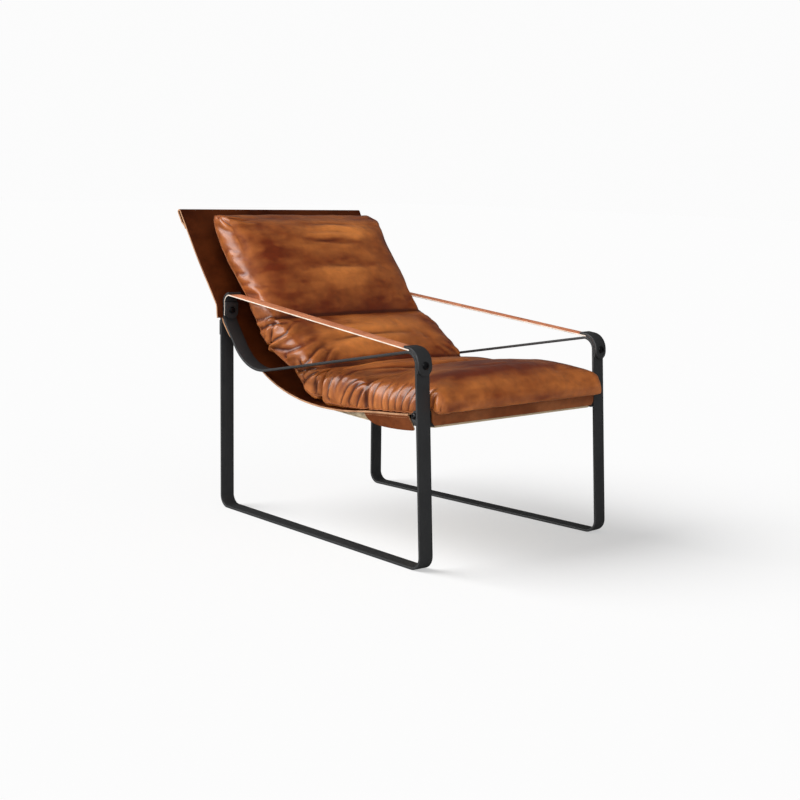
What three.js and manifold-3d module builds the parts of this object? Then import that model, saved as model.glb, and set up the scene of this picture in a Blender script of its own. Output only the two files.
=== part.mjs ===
// Leather sling lounge chair. Millimetres, +Z up, the chair faces -Y.
// The origin is on the floor, at the middle of the frames' footprint. +X is the sitter's left.
import * as THREE from "three";
import { mergeVertices } from "three/addons/utils/BufferGeometryUtils.js";
import Module from "manifold-3d";

const wasm = await Module();
wasm.setup();

// Running values: the gap between pieces that touch, the overrun of every cut, and how fine curves are
const gap = 0.3;
const overrun = 6;
const weldReach = 0.001;
const arcStep = Math.PI / 18;
const roundSides = 24;

// Flat bar that both side frames are bent from
const bar = { width: 38, thickness: 6 };

// Side frame, seen from the side: y runs back along the floor and z up
const frame = {
  width: 640,
  depth: 800,
  toeIn: 39,
  frontSetback: 36,
  rearSetback: 11,
  armFront: 492,
  armLow: 364,
  armLowAhead: 111,
  sweepTop: 491,
  boltHeight: 514,
  frontBoltHeight: 457,
  armRear: 561,
  backHeight: 765,
  backReach: 150,
  backMidUpShare: 0.515,
  backMidReachShare: 0.547,
  floorBend: 28,
  armBend: 28,
  sweepBend: 140,
  hitchBend: 30,
  rearBend: 25,
  backBend: 600,
  kneeBend: 16,
  tip: 8,
  tipPointsLost: 3,
};

// Leather sheet of the sling, with its hems, flaps and notches
const sling = {
  thickness: 4,
  topHalfWidth: 311,
  boltHalfWidth: 297,
  seatInset: 4,
  flapOutset: 4,
  notchTop: 20,
  notchBottom: 66,
  notchRound: 20,
  hemDepth: 45,
  hemRoom: 1.5,
  seatPull: 115,
  seatSag: 245,
  seatRearBehind: 251,
  seatRearZ: 324.5,
  seatRise: 0.162,
  frontBehind: 25.2,
  frontRound: 8,
  frontDrop: 41,
  cornerInset: 16,
  cornerCut: 14,
};
const flap = { rearBehind: 254, frontBehind: 97, lean: 17, drop: 47, frontDrop: 42, round: 30 };
const underlay = {
  thickness: 2.5,
  inset: 60,
  rearBehind: 438,
  joinBehind: 380,
  levelBehind: 245,
  levelBelow: 22.5,
  frontRise: 26,
};

// Leather arm strap and the two clamp plates that hold its ends
const strap = { thickness: 3, frontTail: 34, rearTail: 14 };
const clamp = { thickness: 5, below: 22, above: 21, lead: 12 };

// Rails and the crossbar
const frontRail = { height: 38, thickness: 6, lug: 57, bend: 13 };
const bracket = { thickness: 5, chamfer: 9, height: 42, flange: 32, boltBack: 46, tabEnd: 57 };
const crossbar = { height: 38, thickness: 6, lap: 34, bend: 30, level: 468 };
const topRail = { height: 25, thickness: 5, below: 18, halfLength: 300 };

// Fasteners: shank radius, head radius, head height, socket radius and depth
const clampScrew = { shank: 3, head: 9, height: 5, socket: 3.2, depth: 3 };
const bracketScrew = { shank: 3, head: 8, height: 4.5, socket: 3, depth: 2.6 };
const hemScrew = { shank: 2.5, head: 5, height: 2.8, socket: 1.8, depth: 1.6 };
const nut = { radius: 5.8, height: 5 };

// Cushion: how its edges round, how far its sides draw in, and how fine its grid is
const cushion = {
  clearance: 0.6,
  overhang: 12,
  edgeRound: 17,
  sideDraw: 3,
  swellPower: 2.6,
  alongSegments: 12,
  acrossSegments: 14,
  depthSegments: 5,
  seamGap: 0.8,
};

// Both ends of each seam, on the sling's side and the sitter's side. Widths: the room beside the bars, or the
// inset from the sling's edge. Places: ahead of the footprint's rear end, or behind its front end. Heights:
// below the sling's top edge, down from the rear bolts, or the rise over the seat.
const seams = {
  top: {
    rear: { inset: 54, ahead: -80, below: 8 },
    front: { inset: 53, ahead: -30, below: 5 },
  },
  neck: {
    rear: { room: 9, ahead: 126, down: 73 },
    front: { room: 6, ahead: 188, down: 2 },
  },
  waist: {
    rear: { room: 6.5, ahead: 262, down: 133 },
    front: { room: 6, ahead: 351, down: 113 },
  },
  lap: {
    rear: { room: 3, ahead: 334, down: 184 },
    front: { room: 7, ahead: 378, down: 124 },
  },
  thigh: {
    rear: { room: 3.5, behind: 270, rise: 2.5 },
    front: { room: 3, behind: 270, rise: 73.5 },
  },
  knee: {
    rear: { room: 9, behind: -3, rise: 27.5 },
    front: { room: 5, behind: -24, rise: 73.5 },
  },
};

// Each section's swell in its middle, towards the sling and towards the sitter
const swells = {
  head: { rear: 46, front: 22 },
  back: { rear: 50, front: 24 },
  lumbar: { rear: 26, front: 8 },
  seat: { rear: 16, front: 27 },
  front: { rear: 4, front: 32 },
};

// Axes of the drawing planes: side drawings hold (y, z), front drawings hold (x, z)
const sideView = new THREE.Matrix4().makeBasis(
  new THREE.Vector3(0, 1, 0),
  new THREE.Vector3(0, 0, 1),
  new THREE.Vector3(1, 0, 0),
);
const frontView = new THREE.Matrix4().makeBasis(
  new THREE.Vector3(1, 0, 0),
  new THREE.Vector3(0, 0, 1),
  new THREE.Vector3(0, -1, 0),
);

const toeAngle = Math.asin(frame.toeIn / frame.depth);
const skew = bar.width * Math.sin(toeAngle);
const halfBar = bar.thickness / 2;
const behindFront = (distance) => distance - frame.depth / 2;
const slingFrontY = behindFront(sling.frontBehind);
const flapRear = behindFront(flap.rearBehind);
const flapFront = behindFront(flap.frontBehind);
const point = (y, z) => new THREE.Vector2(y, z);

// The right side's own frame: x is 0 on the bar's outer face, and falls towards the chair's middle
const rearShift = (bar.width * Math.sin(toeAngle) + frame.depth * (1 - Math.cos(toeAngle))) / 2;
const rightSide = new THREE.Matrix4()
  .makeRotationZ(toeAngle)
  .setPosition((frame.width - frame.toeIn) / 2, rearShift, 0);

// Half width over the bars' outer faces at a place along the depth
function outerX(y) {
  return frame.width / 2 - (frame.toeIn * (y + frame.depth / 2)) / frame.depth;
}

// A point of the right side's frame, seen in plan
function planPoint(x, y) {
  const at = new THREE.Vector3(x, y, 0).applyMatrix4(rightSide);
  return point(at.x, at.y);
}

// The left normal of the way from one point to the next
function leftOf(from, to) {
  const way = to.clone().sub(from).normalize();
  return point(-way.y, way.x);
}

// A straight line moved to its left
function beside([from, to], distance) {
  const shift = leftOf(from, to).multiplyScalar(distance);
  return [from.clone().add(shift), to.clone().add(shift)];
}

// A level line of the side drawing
function levelAt(z) {
  return [point(0, z), point(frame.depth, z)];
}

// Where two straight lines meet
function meet([a, b], [c, d]) {
  const first = b.clone().sub(a);
  const second = d.clone().sub(c);
  const share = c.clone().sub(a).cross(second) / first.cross(second);
  return a.clone().addScaledVector(first, share);
}

// A point part of the way from one to another, by distance
function towards(from, to, distance) {
  return from.clone().addScaledVector(to.clone().sub(from).normalize(), distance);
}

// A line through corners, each rounded by an arc of its own radius
function roundedLine(corners) {
  const line = [];
  corners.forEach(({ at, radius }, i) => {
    if (!radius) {
      line.push(at);
      return;
    }
    const before = corners[i - 1].at.clone().sub(at).normalize();
    const after = corners[i + 1].at.clone().sub(at).normalize();
    const half = Math.acos(THREE.MathUtils.clamp(before.dot(after), -1, 1)) / 2;
    const centre = towards(at, at.clone().add(before).add(after), radius / Math.sin(half));
    const start = towards(at, corners[i - 1].at, radius / Math.tan(half)).sub(centre);
    const sweep = Math.PI - 2 * half;
    const turn = Math.sign(before.clone().negate().cross(after)) * sweep;
    const steps = Math.max(2, Math.ceil(sweep / arcStep));
    for (let step = 0; step <= steps; step += 1) {
      line.push(start.clone().rotateAround(point(0, 0), (turn * step) / steps).add(centre));
    }
  });
  return line;
}

// A line moved to its left, with its corners kept sharp
function offset(line, distance) {
  return line.map((at, i) => {
    const before = leftOf(line[Math.max(i - 1, 0)], line[Math.max(i, 1)]);
    const after = leftOf(line[Math.min(i, line.length - 2)], line[Math.min(i + 1, line.length - 1)]);
    const share = distance / (1 + before.dot(after));
    return at.clone().addScaledVector(before.add(after), share);
  });
}

// The outline of a strip of one thickness along a line
function strip(line, thickness) {
  return [...offset(line, thickness / 2), ...offset(line, -thickness / 2).reverse()];
}

// A side drawing pushed through the width, from one x to another
function acrossX(outline, from, to) {
  const shape = new THREE.ExtrudeGeometry(new THREE.Shape(outline), {
    depth: to - from,
    bevelEnabled: false,
  });
  return shape.translate(0, 0, from).applyMatrix4(sideView);
}

// A plan drawing raised from one height to another
function raised(outline, from, to) {
  const shape = new THREE.ExtrudeGeometry(new THREE.Shape(outline), {
    depth: to - from,
    bevelEnabled: false,
  });
  return shape.translate(0, 0, from);
}

// A front drawing pushed through the depth
function alongY(shape, from, to) {
  const solid = new THREE.ExtrudeGeometry(shape, {
    depth: to - from,
    bevelEnabled: false,
    curveSegments: roundSides / 2,
  });
  return solid.translate(0, 0, -to).applyMatrix4(frontView);
}

// A geometry as a solid that can be joined and cut, with its faces turned out
function toSolid(geometry) {
  const loose = geometry.index ? geometry.toNonIndexed() : geometry;
  const bare = new THREE.BufferGeometry();
  bare.setAttribute("position", loose.getAttribute("position"));
  const merged = mergeVertices(bare, weldReach);
  const corners = merged.index.array;
  const kept = [];
  for (let i = 0; i < corners.length; i += 3) {
    const [a, b, c] = [corners[i], corners[i + 1], corners[i + 2]];
    if (a !== b && b !== c && c !== a) kept.push([a, b, c]);
  }
  const vertProperties = merged.getAttribute("position").array;
  const build = (triangles) =>
    new wasm.Manifold(
      new wasm.Mesh({ numProp: 3, vertProperties, triVerts: new Uint32Array(triangles.flat()) }),
    );
  const solid = build(kept);
  return solid.volume() > 0 ? solid : build(kept.map(([a, b, c]) => [a, c, b]));
}

function toGeometry(solid) {
  const { numProp, vertProperties, triVerts } = solid.getMesh();
  const positions = new Float32Array(triVerts.length * 3);
  triVerts.forEach((vertex, i) => {
    const start = vertex * numProp;
    positions.set(vertProperties.subarray(start, start + 3), i * 3);
  });
  const geometry = new THREE.BufferGeometry();
  geometry.setAttribute("position", new THREE.BufferAttribute(positions, 3));
  geometry.computeVertexNormals();
  return geometry;
}

const cut = (body, ...tools) => tools.reduce((left, tool) => left.subtract(toSolid(tool)), body);
const join = (...bodies) => bodies.reduce((whole, body) => whole.add(body));

// A geometry drawn in the right side's frame, and its mirror image on the left
const onRight = (geometry) => geometry.clone().applyMatrix4(rightSide);
const onLeft = (geometry) => onRight(geometry).scale(-1, 1, 1);

// A strip of the bar's width along a side line, in place on the right side
function barWide(line, thickness) {
  return toSolid(onRight(acrossX(strip(line, thickness), -bar.width, 0)));
}

// Turns a piece drawn along +Y to point along a direction of the side drawing
function aimed(geometry, x, at, way) {
  const across = new THREE.Vector3(1, 0, 0);
  const along = new THREE.Vector3(0, way.x, way.y);
  const matrix = new THREE.Matrix4()
    .makeBasis(across, along, across.clone().cross(along))
    .setPosition(x, at.x, at.y);
  return geometry.clone().applyMatrix4(matrix);
}

// A screw along Y with its head at the +Y end; its head's underside is at zero
function screw(size, length) {
  const profile = [
    point(0, -length),
    point(size.shank, -length),
    point(size.shank, 0),
    point(size.head, 0),
    point(size.head, size.height * 0.3),
    point(size.head * 0.86, size.height * 0.72),
    point(size.head * 0.6, size.height),
    point(0, size.height),
  ];
  const body = toSolid(new THREE.LatheGeometry(profile, roundSides));
  const key = new THREE.CylinderGeometry(size.socket, size.socket, size.depth * 2, 6);
  return toGeometry(cut(body, key.translate(0, size.height, 0)));
}

// A hexagon nut along Y, from zero down to its height
function hexNut(shank) {
  const body = new THREE.CylinderGeometry(nut.radius, nut.radius, nut.height, 6);
  const bore = new THREE.CylinderGeometry(shank + gap, shank + gap, nut.height + overrun, roundSides);
  return toGeometry(cut(toSolid(body), bore)).translate(0, -nut.height / 2, 0);
}

// A round cutter along Y for a screw's shank
function hole(shank, length) {
  return new THREE.CylinderGeometry(shank + gap, shank + gap, length, roundSides);
}

// Centre lines of the side frame's straight runs
const floorLine = [point(0, halfBar), point(-frame.depth / 2, halfBar)];
const frontFoot = point(-frame.depth / 2 + halfBar, 0);
const frontLeg = [frontFoot, point(frontFoot.x + frame.frontSetback, frame.armFront)];
const rearFoot = point(frame.depth / 2 - halfBar, 0);
const rearLeg = [point(rearFoot.x + frame.rearSetback, frame.boltHeight), rearFoot];
const legWay = rearLeg[0].clone().sub(rearLeg[1]).normalize();
const legBack = point(legWay.y, -legWay.x);
const boltOnLeg = rearLeg[0];

// The sling and the strip of the arm lie in front of the rear leg, face to face
const slingSlot = sling.thickness + skew + 2 * gap;
const slotMid = beside(rearLeg, -halfBar - slingSlot / 2);
const stripUp = beside([rearLeg[1], rearLeg[0]], bar.thickness + slingSlot);
const sweepLow = point(frame.depth / 2 - frame.armLowAhead, frame.armLow);
const sweepHigh = point(stripUp[1].x, frame.sweepTop);
const armTop = meet(frontLeg, [sweepLow, point(-frame.depth / 2, frame.armFront + bar.thickness)]);
const sweepLine = [sweepLow, sweepHigh];
const hitch = meet(sweepLine, stripUp);

// Belt line of the strap: it touches the inside of the rear bend and the outside of the front bend
const strapOff = halfBar + gap + strap.thickness / 2;
const rearTop = meet(stripUp, levelAt(frame.armRear));
const strapWay = armTop.clone().sub(rearTop).normalize();
const tipEnd = towards(rearTop, rearTop.clone().add(strapWay), frame.rearBend + frame.tip);

// The sling's line from its top edge down the back, under the seat and to the front
const slotTop = meet(slotMid, levelAt(frame.boltHeight + strap.rearTail));
const backTop = point(slotTop.x + frame.backReach, frame.backHeight);
const backMid = point(
  THREE.MathUtils.lerp(slotTop.x, backTop.x, frame.backMidReachShare),
  THREE.MathUtils.lerp(slotTop.y, backTop.y, frame.backMidUpShare),
);
const sweepUnder = beside(sweepLine, -halfBar - slingSlot / 2);
const slotLow = meet(slotMid, sweepUnder);
const sweepLeave = towards(
  meet(sweepUnder, [sweepLow, towards(sweepLow, sweepLow.clone().add(point(1, -1)), overrun)]),
  slotLow,
  frame.sweepBend * 0.6,
);
const seatRear = point(behindFront(sling.seatRearBehind), sling.seatRearZ);
const seatWay = point(-1, sling.seatRise).normalize();
const seatCurve = new THREE.CubicBezierCurve(
  sweepLeave,
  towards(sweepLeave, sweepLeave.clone().add(sweepLeave).sub(slotLow), sling.seatPull),
  seatRear.clone().addScaledVector(seatWay, -sling.seatSag),
  seatRear,
);
const seatLine = seatCurve.getPoints(22);
const seatFront = meet([seatRear, seatRear.clone().add(seatWay)], [
  point(slingFrontY, 0),
  point(slingFrontY, frame.backHeight),
]);
const backLine = roundedLine([
  { at: backTop },
  { at: backMid, radius: frame.backBend },
  { at: slotTop, radius: frame.kneeBend },
  { at: slotLow, radius: frame.hitchBend },
  { at: sweepLeave },
]);
const bedLine = [...backLine.slice(0, -1), ...seatLine];

// The bar behind the sling's back: it leaves room at the top for the hem and the rail in it
const hemStack = sling.thickness + topRail.thickness + 2 * gap;
const backOff = halfBar + slingSlot / 2;
const backTopOff = hemStack + sling.thickness / 2 + sling.hemRoom + skew / 2 + halfBar;
const backTopNormal = leftOf(backTop, backMid);
const backPost = [
  backTop.clone().addScaledVector(backTopNormal, backTopOff),
  backMid.clone().addScaledVector(backTopNormal, (backOff + backTopOff) / 2),
];
const knee = meet(rearLeg, [
  backPost[1],
  slotTop.clone().addScaledVector(leftOf(backMid, slotTop), backOff),
]);

// One bent bar; its arm end stops a little before its last bend is complete
function sideFrame() {
  const line = roundedLine([
    { at: backPost[0] },
    { at: backPost[1], radius: frame.backBend },
    { at: knee, radius: frame.kneeBend + backOff },
    { at: meet(rearLeg, floorLine), radius: frame.floorBend },
    { at: meet(frontLeg, floorLine), radius: frame.floorBend },
    { at: armTop, radius: frame.armBend },
    { at: sweepLow, radius: frame.sweepBend },
    { at: hitch, radius: frame.hitchBend },
    { at: rearTop, radius: frame.rearBend },
    { at: tipEnd },
  ]);
  const tools = [frontHole(), rearHole(), topHole()];
  return cut(barWide(line.slice(0, -frame.tipPointsLost), bar.thickness), ...tools.map(onRight));
}

// Where the fasteners sit, in the right side's frame
const boltX = -bar.width / 2;
const frontOut = leftOf(...frontLeg);
const frontBolt = meet(frontLeg, levelAt(frame.frontBoltHeight));
const rearOut = legBack.clone().negate();
const railSeat = backTop
  .clone()
  .add(towards(point(0, 0), backMid.clone().sub(backTop), topRail.below))
  .addScaledVector(backTopNormal, sling.thickness / 2 + gap + topRail.thickness / 2);

const postNormal = leftOf(...backPost);
const topSeat = meet(beside(backPost, halfBar + gap), [railSeat, railSeat.clone().add(postNormal)]);

function frontHole() {
  return aimed(hole(clampScrew.shank, bar.width * 2), boltX, frontBolt, frontOut);
}

function rearHole() {
  return aimed(hole(clampScrew.shank, bar.width * 2), boltX, boltOnLeg, rearOut);
}

function topHole() {
  return aimed(hole(hemScrew.shank, bar.width), boltX, railSeat, postNormal);
}

// Arm strap: tail inside the rear bend, a taut run, and the other tail under the front clamp
const strapFront = beside(frontLeg, strapOff);
const strapRear = beside(stripUp, strapOff);
const frontCentre = meet(beside(frontLeg, -frame.armBend), beside([armTop, sweepLow], -frame.armBend));
const rearCentre = meet(beside(stripUp, frame.rearBend), beside([rearTop, tipEnd], frame.rearBend));

// The line that touches two circles from above, from the rear one to the front one
function beltLine(rearRadius, frontRadius) {
  const run = frontCentre.clone().sub(rearCentre);
  const angle = run.angle() - Math.acos((rearRadius - frontRadius) / run.length());
  const up = point(Math.cos(angle), Math.sin(angle));
  return [
    rearCentre.clone().addScaledVector(up, rearRadius),
    frontCentre.clone().addScaledVector(up, frontRadius),
  ];
}

const strapRearRadius = frame.rearBend - strapOff;
const strapFrontRadius = frame.armBend + strapOff;
const strapRun = beltLine(strapRearRadius, strapFrontRadius);

function armStrap() {
  const line = roundedLine([
    { at: meet(strapRear, levelAt(frame.boltHeight - strap.rearTail)) },
    { at: meet(strapRear, strapRun), radius: strapRearRadius },
    { at: meet(strapRun, strapFront), radius: strapFrontRadius },
    { at: meet(strapFront, levelAt(frontBolt.y - strap.frontTail / 2)) },
  ]);
  return cut(barWide(line, strap.thickness), onRight(frontHole()), onRight(rearHole()));
}

// A mask with a round lower end, as wide as the bar
function roundEnded(bottom, top) {
  const half = bar.width / 2;
  const shape = new THREE.Shape();
  shape.moveTo(boltX - half - gap, top);
  shape.lineTo(boltX - half - gap, bottom + half);
  shape.absarc(boltX, bottom + half, half, Math.PI, 0, false);
  shape.lineTo(boltX + half + gap, top);
  return toSolid(onRight(alongY(shape, -frame.depth, frame.depth)));
}

const frontClampOff = strap.thickness / 2 + gap + clamp.thickness / 2;

function frontClamp() {
  const over = beside(strapRun, -frontClampOff);
  const down = beside(strapFront, frontClampOff);
  const corner = meet(over, down);
  const radius = strapFrontRadius + frontClampOff;
  const line = roundedLine([
    { at: towards(corner, over[0], radius + clamp.lead) },
    { at: corner, radius },
    { at: meet(down, levelAt(frontBolt.y - clamp.below - overrun)) },
  ]);
  const mask = roundEnded(frontBolt.y - clamp.below, frame.backHeight);
  return cut(barWide(line, clamp.thickness).intersect(mask), onRight(frontHole()));
}

function rearClamp() {
  const face = beside(strapRear, frontClampOff);
  const line = [
    meet(face, levelAt(frame.boltHeight - clamp.below - overrun)),
    meet(face, levelAt(frame.boltHeight + clamp.above)),
  ];
  const mask = roundEnded(frame.boltHeight - clamp.below, frame.backHeight);
  return cut(barWide(line, clamp.thickness).intersect(mask), onRight(rearHole()));
}

// Stack heights along each screw, measured from the bar's centre line
const clampStack = strapOff + frontClampOff + clamp.thickness / 2 + gap;
const nutStack = halfBar + gap;

const frontSeat = frontBolt.clone().addScaledVector(frontOut, clampStack);
const rearSeat = boltOnLeg
  .clone()
  .addScaledVector(rearOut, clampStack + bar.thickness + slingSlot);
const frontNutSeat = frontBolt.clone().addScaledVector(frontOut, -nutStack);
const rearNutSeat = boltOnLeg.clone().addScaledVector(rearOut, -nutStack);

function frontScrew() {
  const length = clampStack + nutStack + nut.height;
  return aimed(screw(clampScrew, length), boltX, frontSeat, frontOut);
}

function rearScrew() {
  const length = clampStack + bar.thickness + slingSlot + nutStack + nut.height;
  return aimed(screw(clampScrew, length), boltX, rearSeat, rearOut);
}

// Rear crossbar: straight across, with its ends turned to lie flat on the rear legs
function rearCrossbar() {
  const centre = meet(beside(rearLeg, nutStack + crossbar.thickness / 2), levelAt(crossbar.level));
  const end = planPoint(-(bar.width - crossbar.lap) / 2, centre.x);
  const turn = planPoint(-bar.width - crossbar.bend / 2, centre.x);
  const line = roundedLine([
    { at: end },
    { at: turn, radius: crossbar.bend },
    { at: point(-turn.x, turn.y), radius: crossbar.bend },
    { at: point(-end.x, end.y) },
  ]);
  const lean = Math.atan2(legWay.x, legWay.y);
  const body = raised(strip(line, crossbar.thickness), -crossbar.height / 2, crossbar.height / 2);
  body.translate(0, -centre.x, 0).rotateX(-lean).translate(0, centre.x, centre.y);
  return toSolid(body);
}

// Front rail: flat bar on edge, with lugs turned back along the brackets
const seatAtRail = seatFront.y - sling.thickness / 2 - gap;
const railY = slingFrontY + sling.thickness / 2 + gap * 2 + underlay.thickness + frontRail.thickness / 2;
const railTop = seatAtRail - gap - (railY + frontRail.thickness / 2 - slingFrontY) * sling.seatRise;
const railMid = railTop - frontRail.height / 2;
const bracketFace = bar.width + gap;
const lugX = -(bracketFace + bracket.thickness + gap + frontRail.thickness / 2);

function frontRailBar() {
  const end = planPoint(lugX, railY + frontRail.lug);
  const corner = planPoint(lugX, railY);
  const line = roundedLine([
    { at: end },
    { at: point(corner.x, railY), radius: frontRail.bend },
    { at: point(-corner.x, railY), radius: frontRail.bend },
    { at: point(-end.x, end.y) },
  ]);
  const body = raised(strip(line, frontRail.thickness), railTop - frontRail.height, railTop);
  return cut(toSolid(body), onRight(bracketHole()), onLeft(bracketHole()));
}

// Bracket: a flange behind the front leg and a tab back along its inner edge
const bracketBolt = point(railY + bracket.boltBack, railMid);

function bracketHole() {
  const bore = hole(bracketScrew.shank, bar.width);
  return bore.rotateZ(Math.PI / 2).translate(-bracketFace, bracketBolt.x, bracketBolt.y);
}

function railBracket() {
  const low = levelAt(railMid - bracket.height / 2);
  const high = levelAt(railMid + bracket.height / 2);
  const near = beside(frontLeg, -halfBar - gap);
  const far = beside(frontLeg, -halfBar - gap - bracket.thickness);
  const flange = [meet(near, low), meet(far, low), meet(far, high), meet(near, high)];
  const tabEnd = railY + bracket.tabEnd;
  const tabTop = high[0].y - bracket.chamfer;
  const tab = [
    meet(near, low),
    point(tabEnd, low[0].y),
    point(tabEnd, tabTop - bracket.chamfer),
    point(tabEnd - bracket.chamfer, tabTop),
    meet(near, levelAt(tabTop)),
  ];
  const inner = -bracketFace - bracket.thickness;
  const body = join(
    toSolid(onRight(acrossX(flange, inner, inner + bracket.flange))),
    toSolid(onRight(acrossX(tab, inner, -bracketFace))),
  );
  return cut(body, onRight(bracketHole()));
}

// A bracket fastener drawn along +Y, laid along X with its head outwards
function acrossBracket(geometry, x) {
  return geometry.clone().rotateZ(-Math.PI / 2).translate(x, bracketBolt.x, bracketBolt.y);
}

function bracketBoltPiece() {
  const length = bracket.thickness + frontRail.thickness + 3 * gap + nut.height;
  return acrossBracket(screw(bracketScrew, length), -bracketFace + gap);
}

function bracketNutPiece() {
  return acrossBracket(
    hexNut(bracketScrew.shank),
    lugX - frontRail.thickness / 2 - gap,
  );
}

// Top rail in the sling's hem, square to the back
function topRailBar() {
  const along = leftOf(backTop, backMid);
  const way = point(along.y, -along.x);
  const half = topRail.height / 2;
  const line = [
    railSeat.clone().addScaledVector(way, half),
    railSeat.clone().addScaledVector(way, -half),
  ];
  const body = toSolid(
    acrossX(strip(line, topRail.thickness), -topRail.halfLength, topRail.halfLength),
  );
  return cut(body, onRight(topHole()), onLeft(topHole()));
}

// Screw from behind the post, through the hem and into the rail
function topScrew() {
  const length = topSeat.distanceTo(railSeat) + topRail.thickness / 2;
  return aimed(screw(hemScrew, length), boltX, topSeat, postNormal);
}

// Widest plan of the sling: its edges run beside the bars, wider over the flaps and cut at the front corners
function slingPlan() {
  const beyond = frame.width;
  const inset = bar.width + sling.seatInset;
  const rim = bar.width - sling.flapOutset;
  const cutLow = frame.boltHeight - sling.notchBottom - sling.notchRound;
  const split = meet([slotLow, sweepLeave], levelAt(cutLow)).x + sling.thickness;
  const edge = (y, inward) => point(outerX(y) - inward, y);
  const right = [
    point(beyond, frame.depth),
    point(beyond, split),
    edge(split, inset),
    edge(flapRear, rim),
    edge(flapFront, rim),
    edge(flapFront, bar.width + sling.cornerInset),
    point(outerX(slingFrontY) - bar.width - sling.cornerInset, -frame.depth),
  ];
  return [...right, ...right.map((at) => point(-at.x, at.y)).reverse()];
}

// The sling seen from the front: wider at the top, stepped in at the rear bolts, then cut in round the strip
function slingFront() {
  const beyond = frame.width;
  const stepTop = frame.boltHeight - sling.notchTop;
  const stepLow = frame.boltHeight - sling.notchBottom;
  const flush = outerX(boltOnLeg.x);
  const right = roundedLine([
    { at: point(sling.topHalfWidth, frame.backHeight + frame.depth) },
    { at: point(sling.topHalfWidth, frame.backHeight) },
    { at: point(sling.boltHalfWidth, stepTop) },
    { at: point(flush, stepTop - overrun) },
    { at: point(flush, stepLow), radius: sling.notchRound },
    { at: point(flush - bar.width - sling.seatInset, stepLow - sling.notchRound) },
    { at: point(beyond, stepLow - sling.notchRound - gap) },
    { at: point(beyond, -frame.depth) },
  ]);
  const shape = new THREE.Shape([...right, ...right.map((at) => point(-at.x, at.y)).reverse()]);
  return toSolid(alongY(shape, -frame.depth, frame.depth));
}

// Side flap under the seat's edge, in the right side's frame
function flapOutline() {
  const top = (y) => point(y, seatRear.y + (seatRear.x - y) * sling.seatRise);
  const shape = new THREE.Shape();
  const rear = top(flapRear);
  const front = top(flapFront);
  const foot = point(flapFront - flap.lean, front.y - flap.frontDrop);
  const low = (rear.y + front.y) / 2 - flap.drop * 0.76;
  shape.moveTo(rear.x, rear.y);
  shape.quadraticCurveTo(rear.x - flap.round / 2, low + 3 * gap, rear.x - 2 * flap.round, low);
  shape.quadraticCurveTo((rear.x + foot.x) / 2 - flap.round, low - 2 * gap, foot.x, foot.y);
  shape.lineTo(front.x, front.y);
  return shape.getPoints(10);
}

function slingSheet() {
  const across = frame.width / 2 + overrun;
  const line = [
    ...bedLine,
    ...roundedLine([
      { at: towards(seatFront, seatRear, 3 * sling.frontRound) },
      { at: seatFront, radius: sling.frontRound },
      { at: point(slingFrontY, seatFront.y - sling.frontDrop) },
    ]),
  ];
  const sheet = toSolid(acrossX(strip(line, sling.thickness), -across, across));
  const hemTurn = beside([backTop, backMid], hemStack);
  const hem = roundedLine([
    { at: towards(backTop, backMid, sling.hemDepth) },
    { at: backTop, radius: hemStack / 2 - gap },
    { at: hemTurn[0], radius: hemStack / 2 - gap },
    { at: towards(hemTurn[0], hemTurn[1], topRail.below + topRail.height / 2 + sling.thickness / 2) },
    { at: towards(backTop, backMid, sling.hemDepth) },
  ]);
  const fold = toSolid(acrossX(strip(hem.slice(0, -1), sling.thickness), -across, across));
  const seam = toSolid(acrossX(strip(hem.slice(-2), sling.thickness), -across, across));
  const shaped = join(cutTop(sheet), fold, seam)
    .intersect(toSolid(raised(slingPlan(), -overrun, frame.depth + frame.backHeight)))
    .intersect(slingFront());
  const flapX = -bar.width + sling.flapOutset;
  const side = acrossX(flapOutline(), flapX - sling.thickness, flapX);
  const corner = cornerCutter();
  const holes = [rearHole(), topHole()].flatMap((tool) => [onRight(tool), onLeft(tool)]);
  const body = join(shaped, toSolid(onRight(side)), toSolid(onLeft(side)));
  return cut(body, corner, corner.clone().scale(-1, 1, 1), ...holes);
}

// The sheet ends a little below its top, where the hem's fold takes over
function cutTop(sheet) {
  const start = towards(backTop, backMid, hemStack);
  const away = start.clone().addScaledVector(backTopNormal, frame.depth);
  const back = start.clone().addScaledVector(backTopNormal, -frame.depth);
  const up = backTop.clone().sub(backMid).normalize().multiplyScalar(frame.depth);
  const outline = [back, away, away.clone().add(up), back.clone().add(up)];
  return cut(sheet, acrossX(outline, -frame.width, frame.width));
}

// Slanted cut at the lower front corner of the sling
function cornerCutter() {
  const edge = outerX(slingFrontY) - bar.width - sling.cornerInset + overrun;
  const low = seatFront.y - sling.frontDrop - overrun;
  const reach = sling.cornerCut + overrun;
  const shape = new THREE.Shape([
    point(edge - reach, low),
    point(edge, low),
    point(edge, low + reach),
  ]);
  return alongY(shape, slingFrontY - overrun, slingFrontY + overrun / 2);
}

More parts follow.
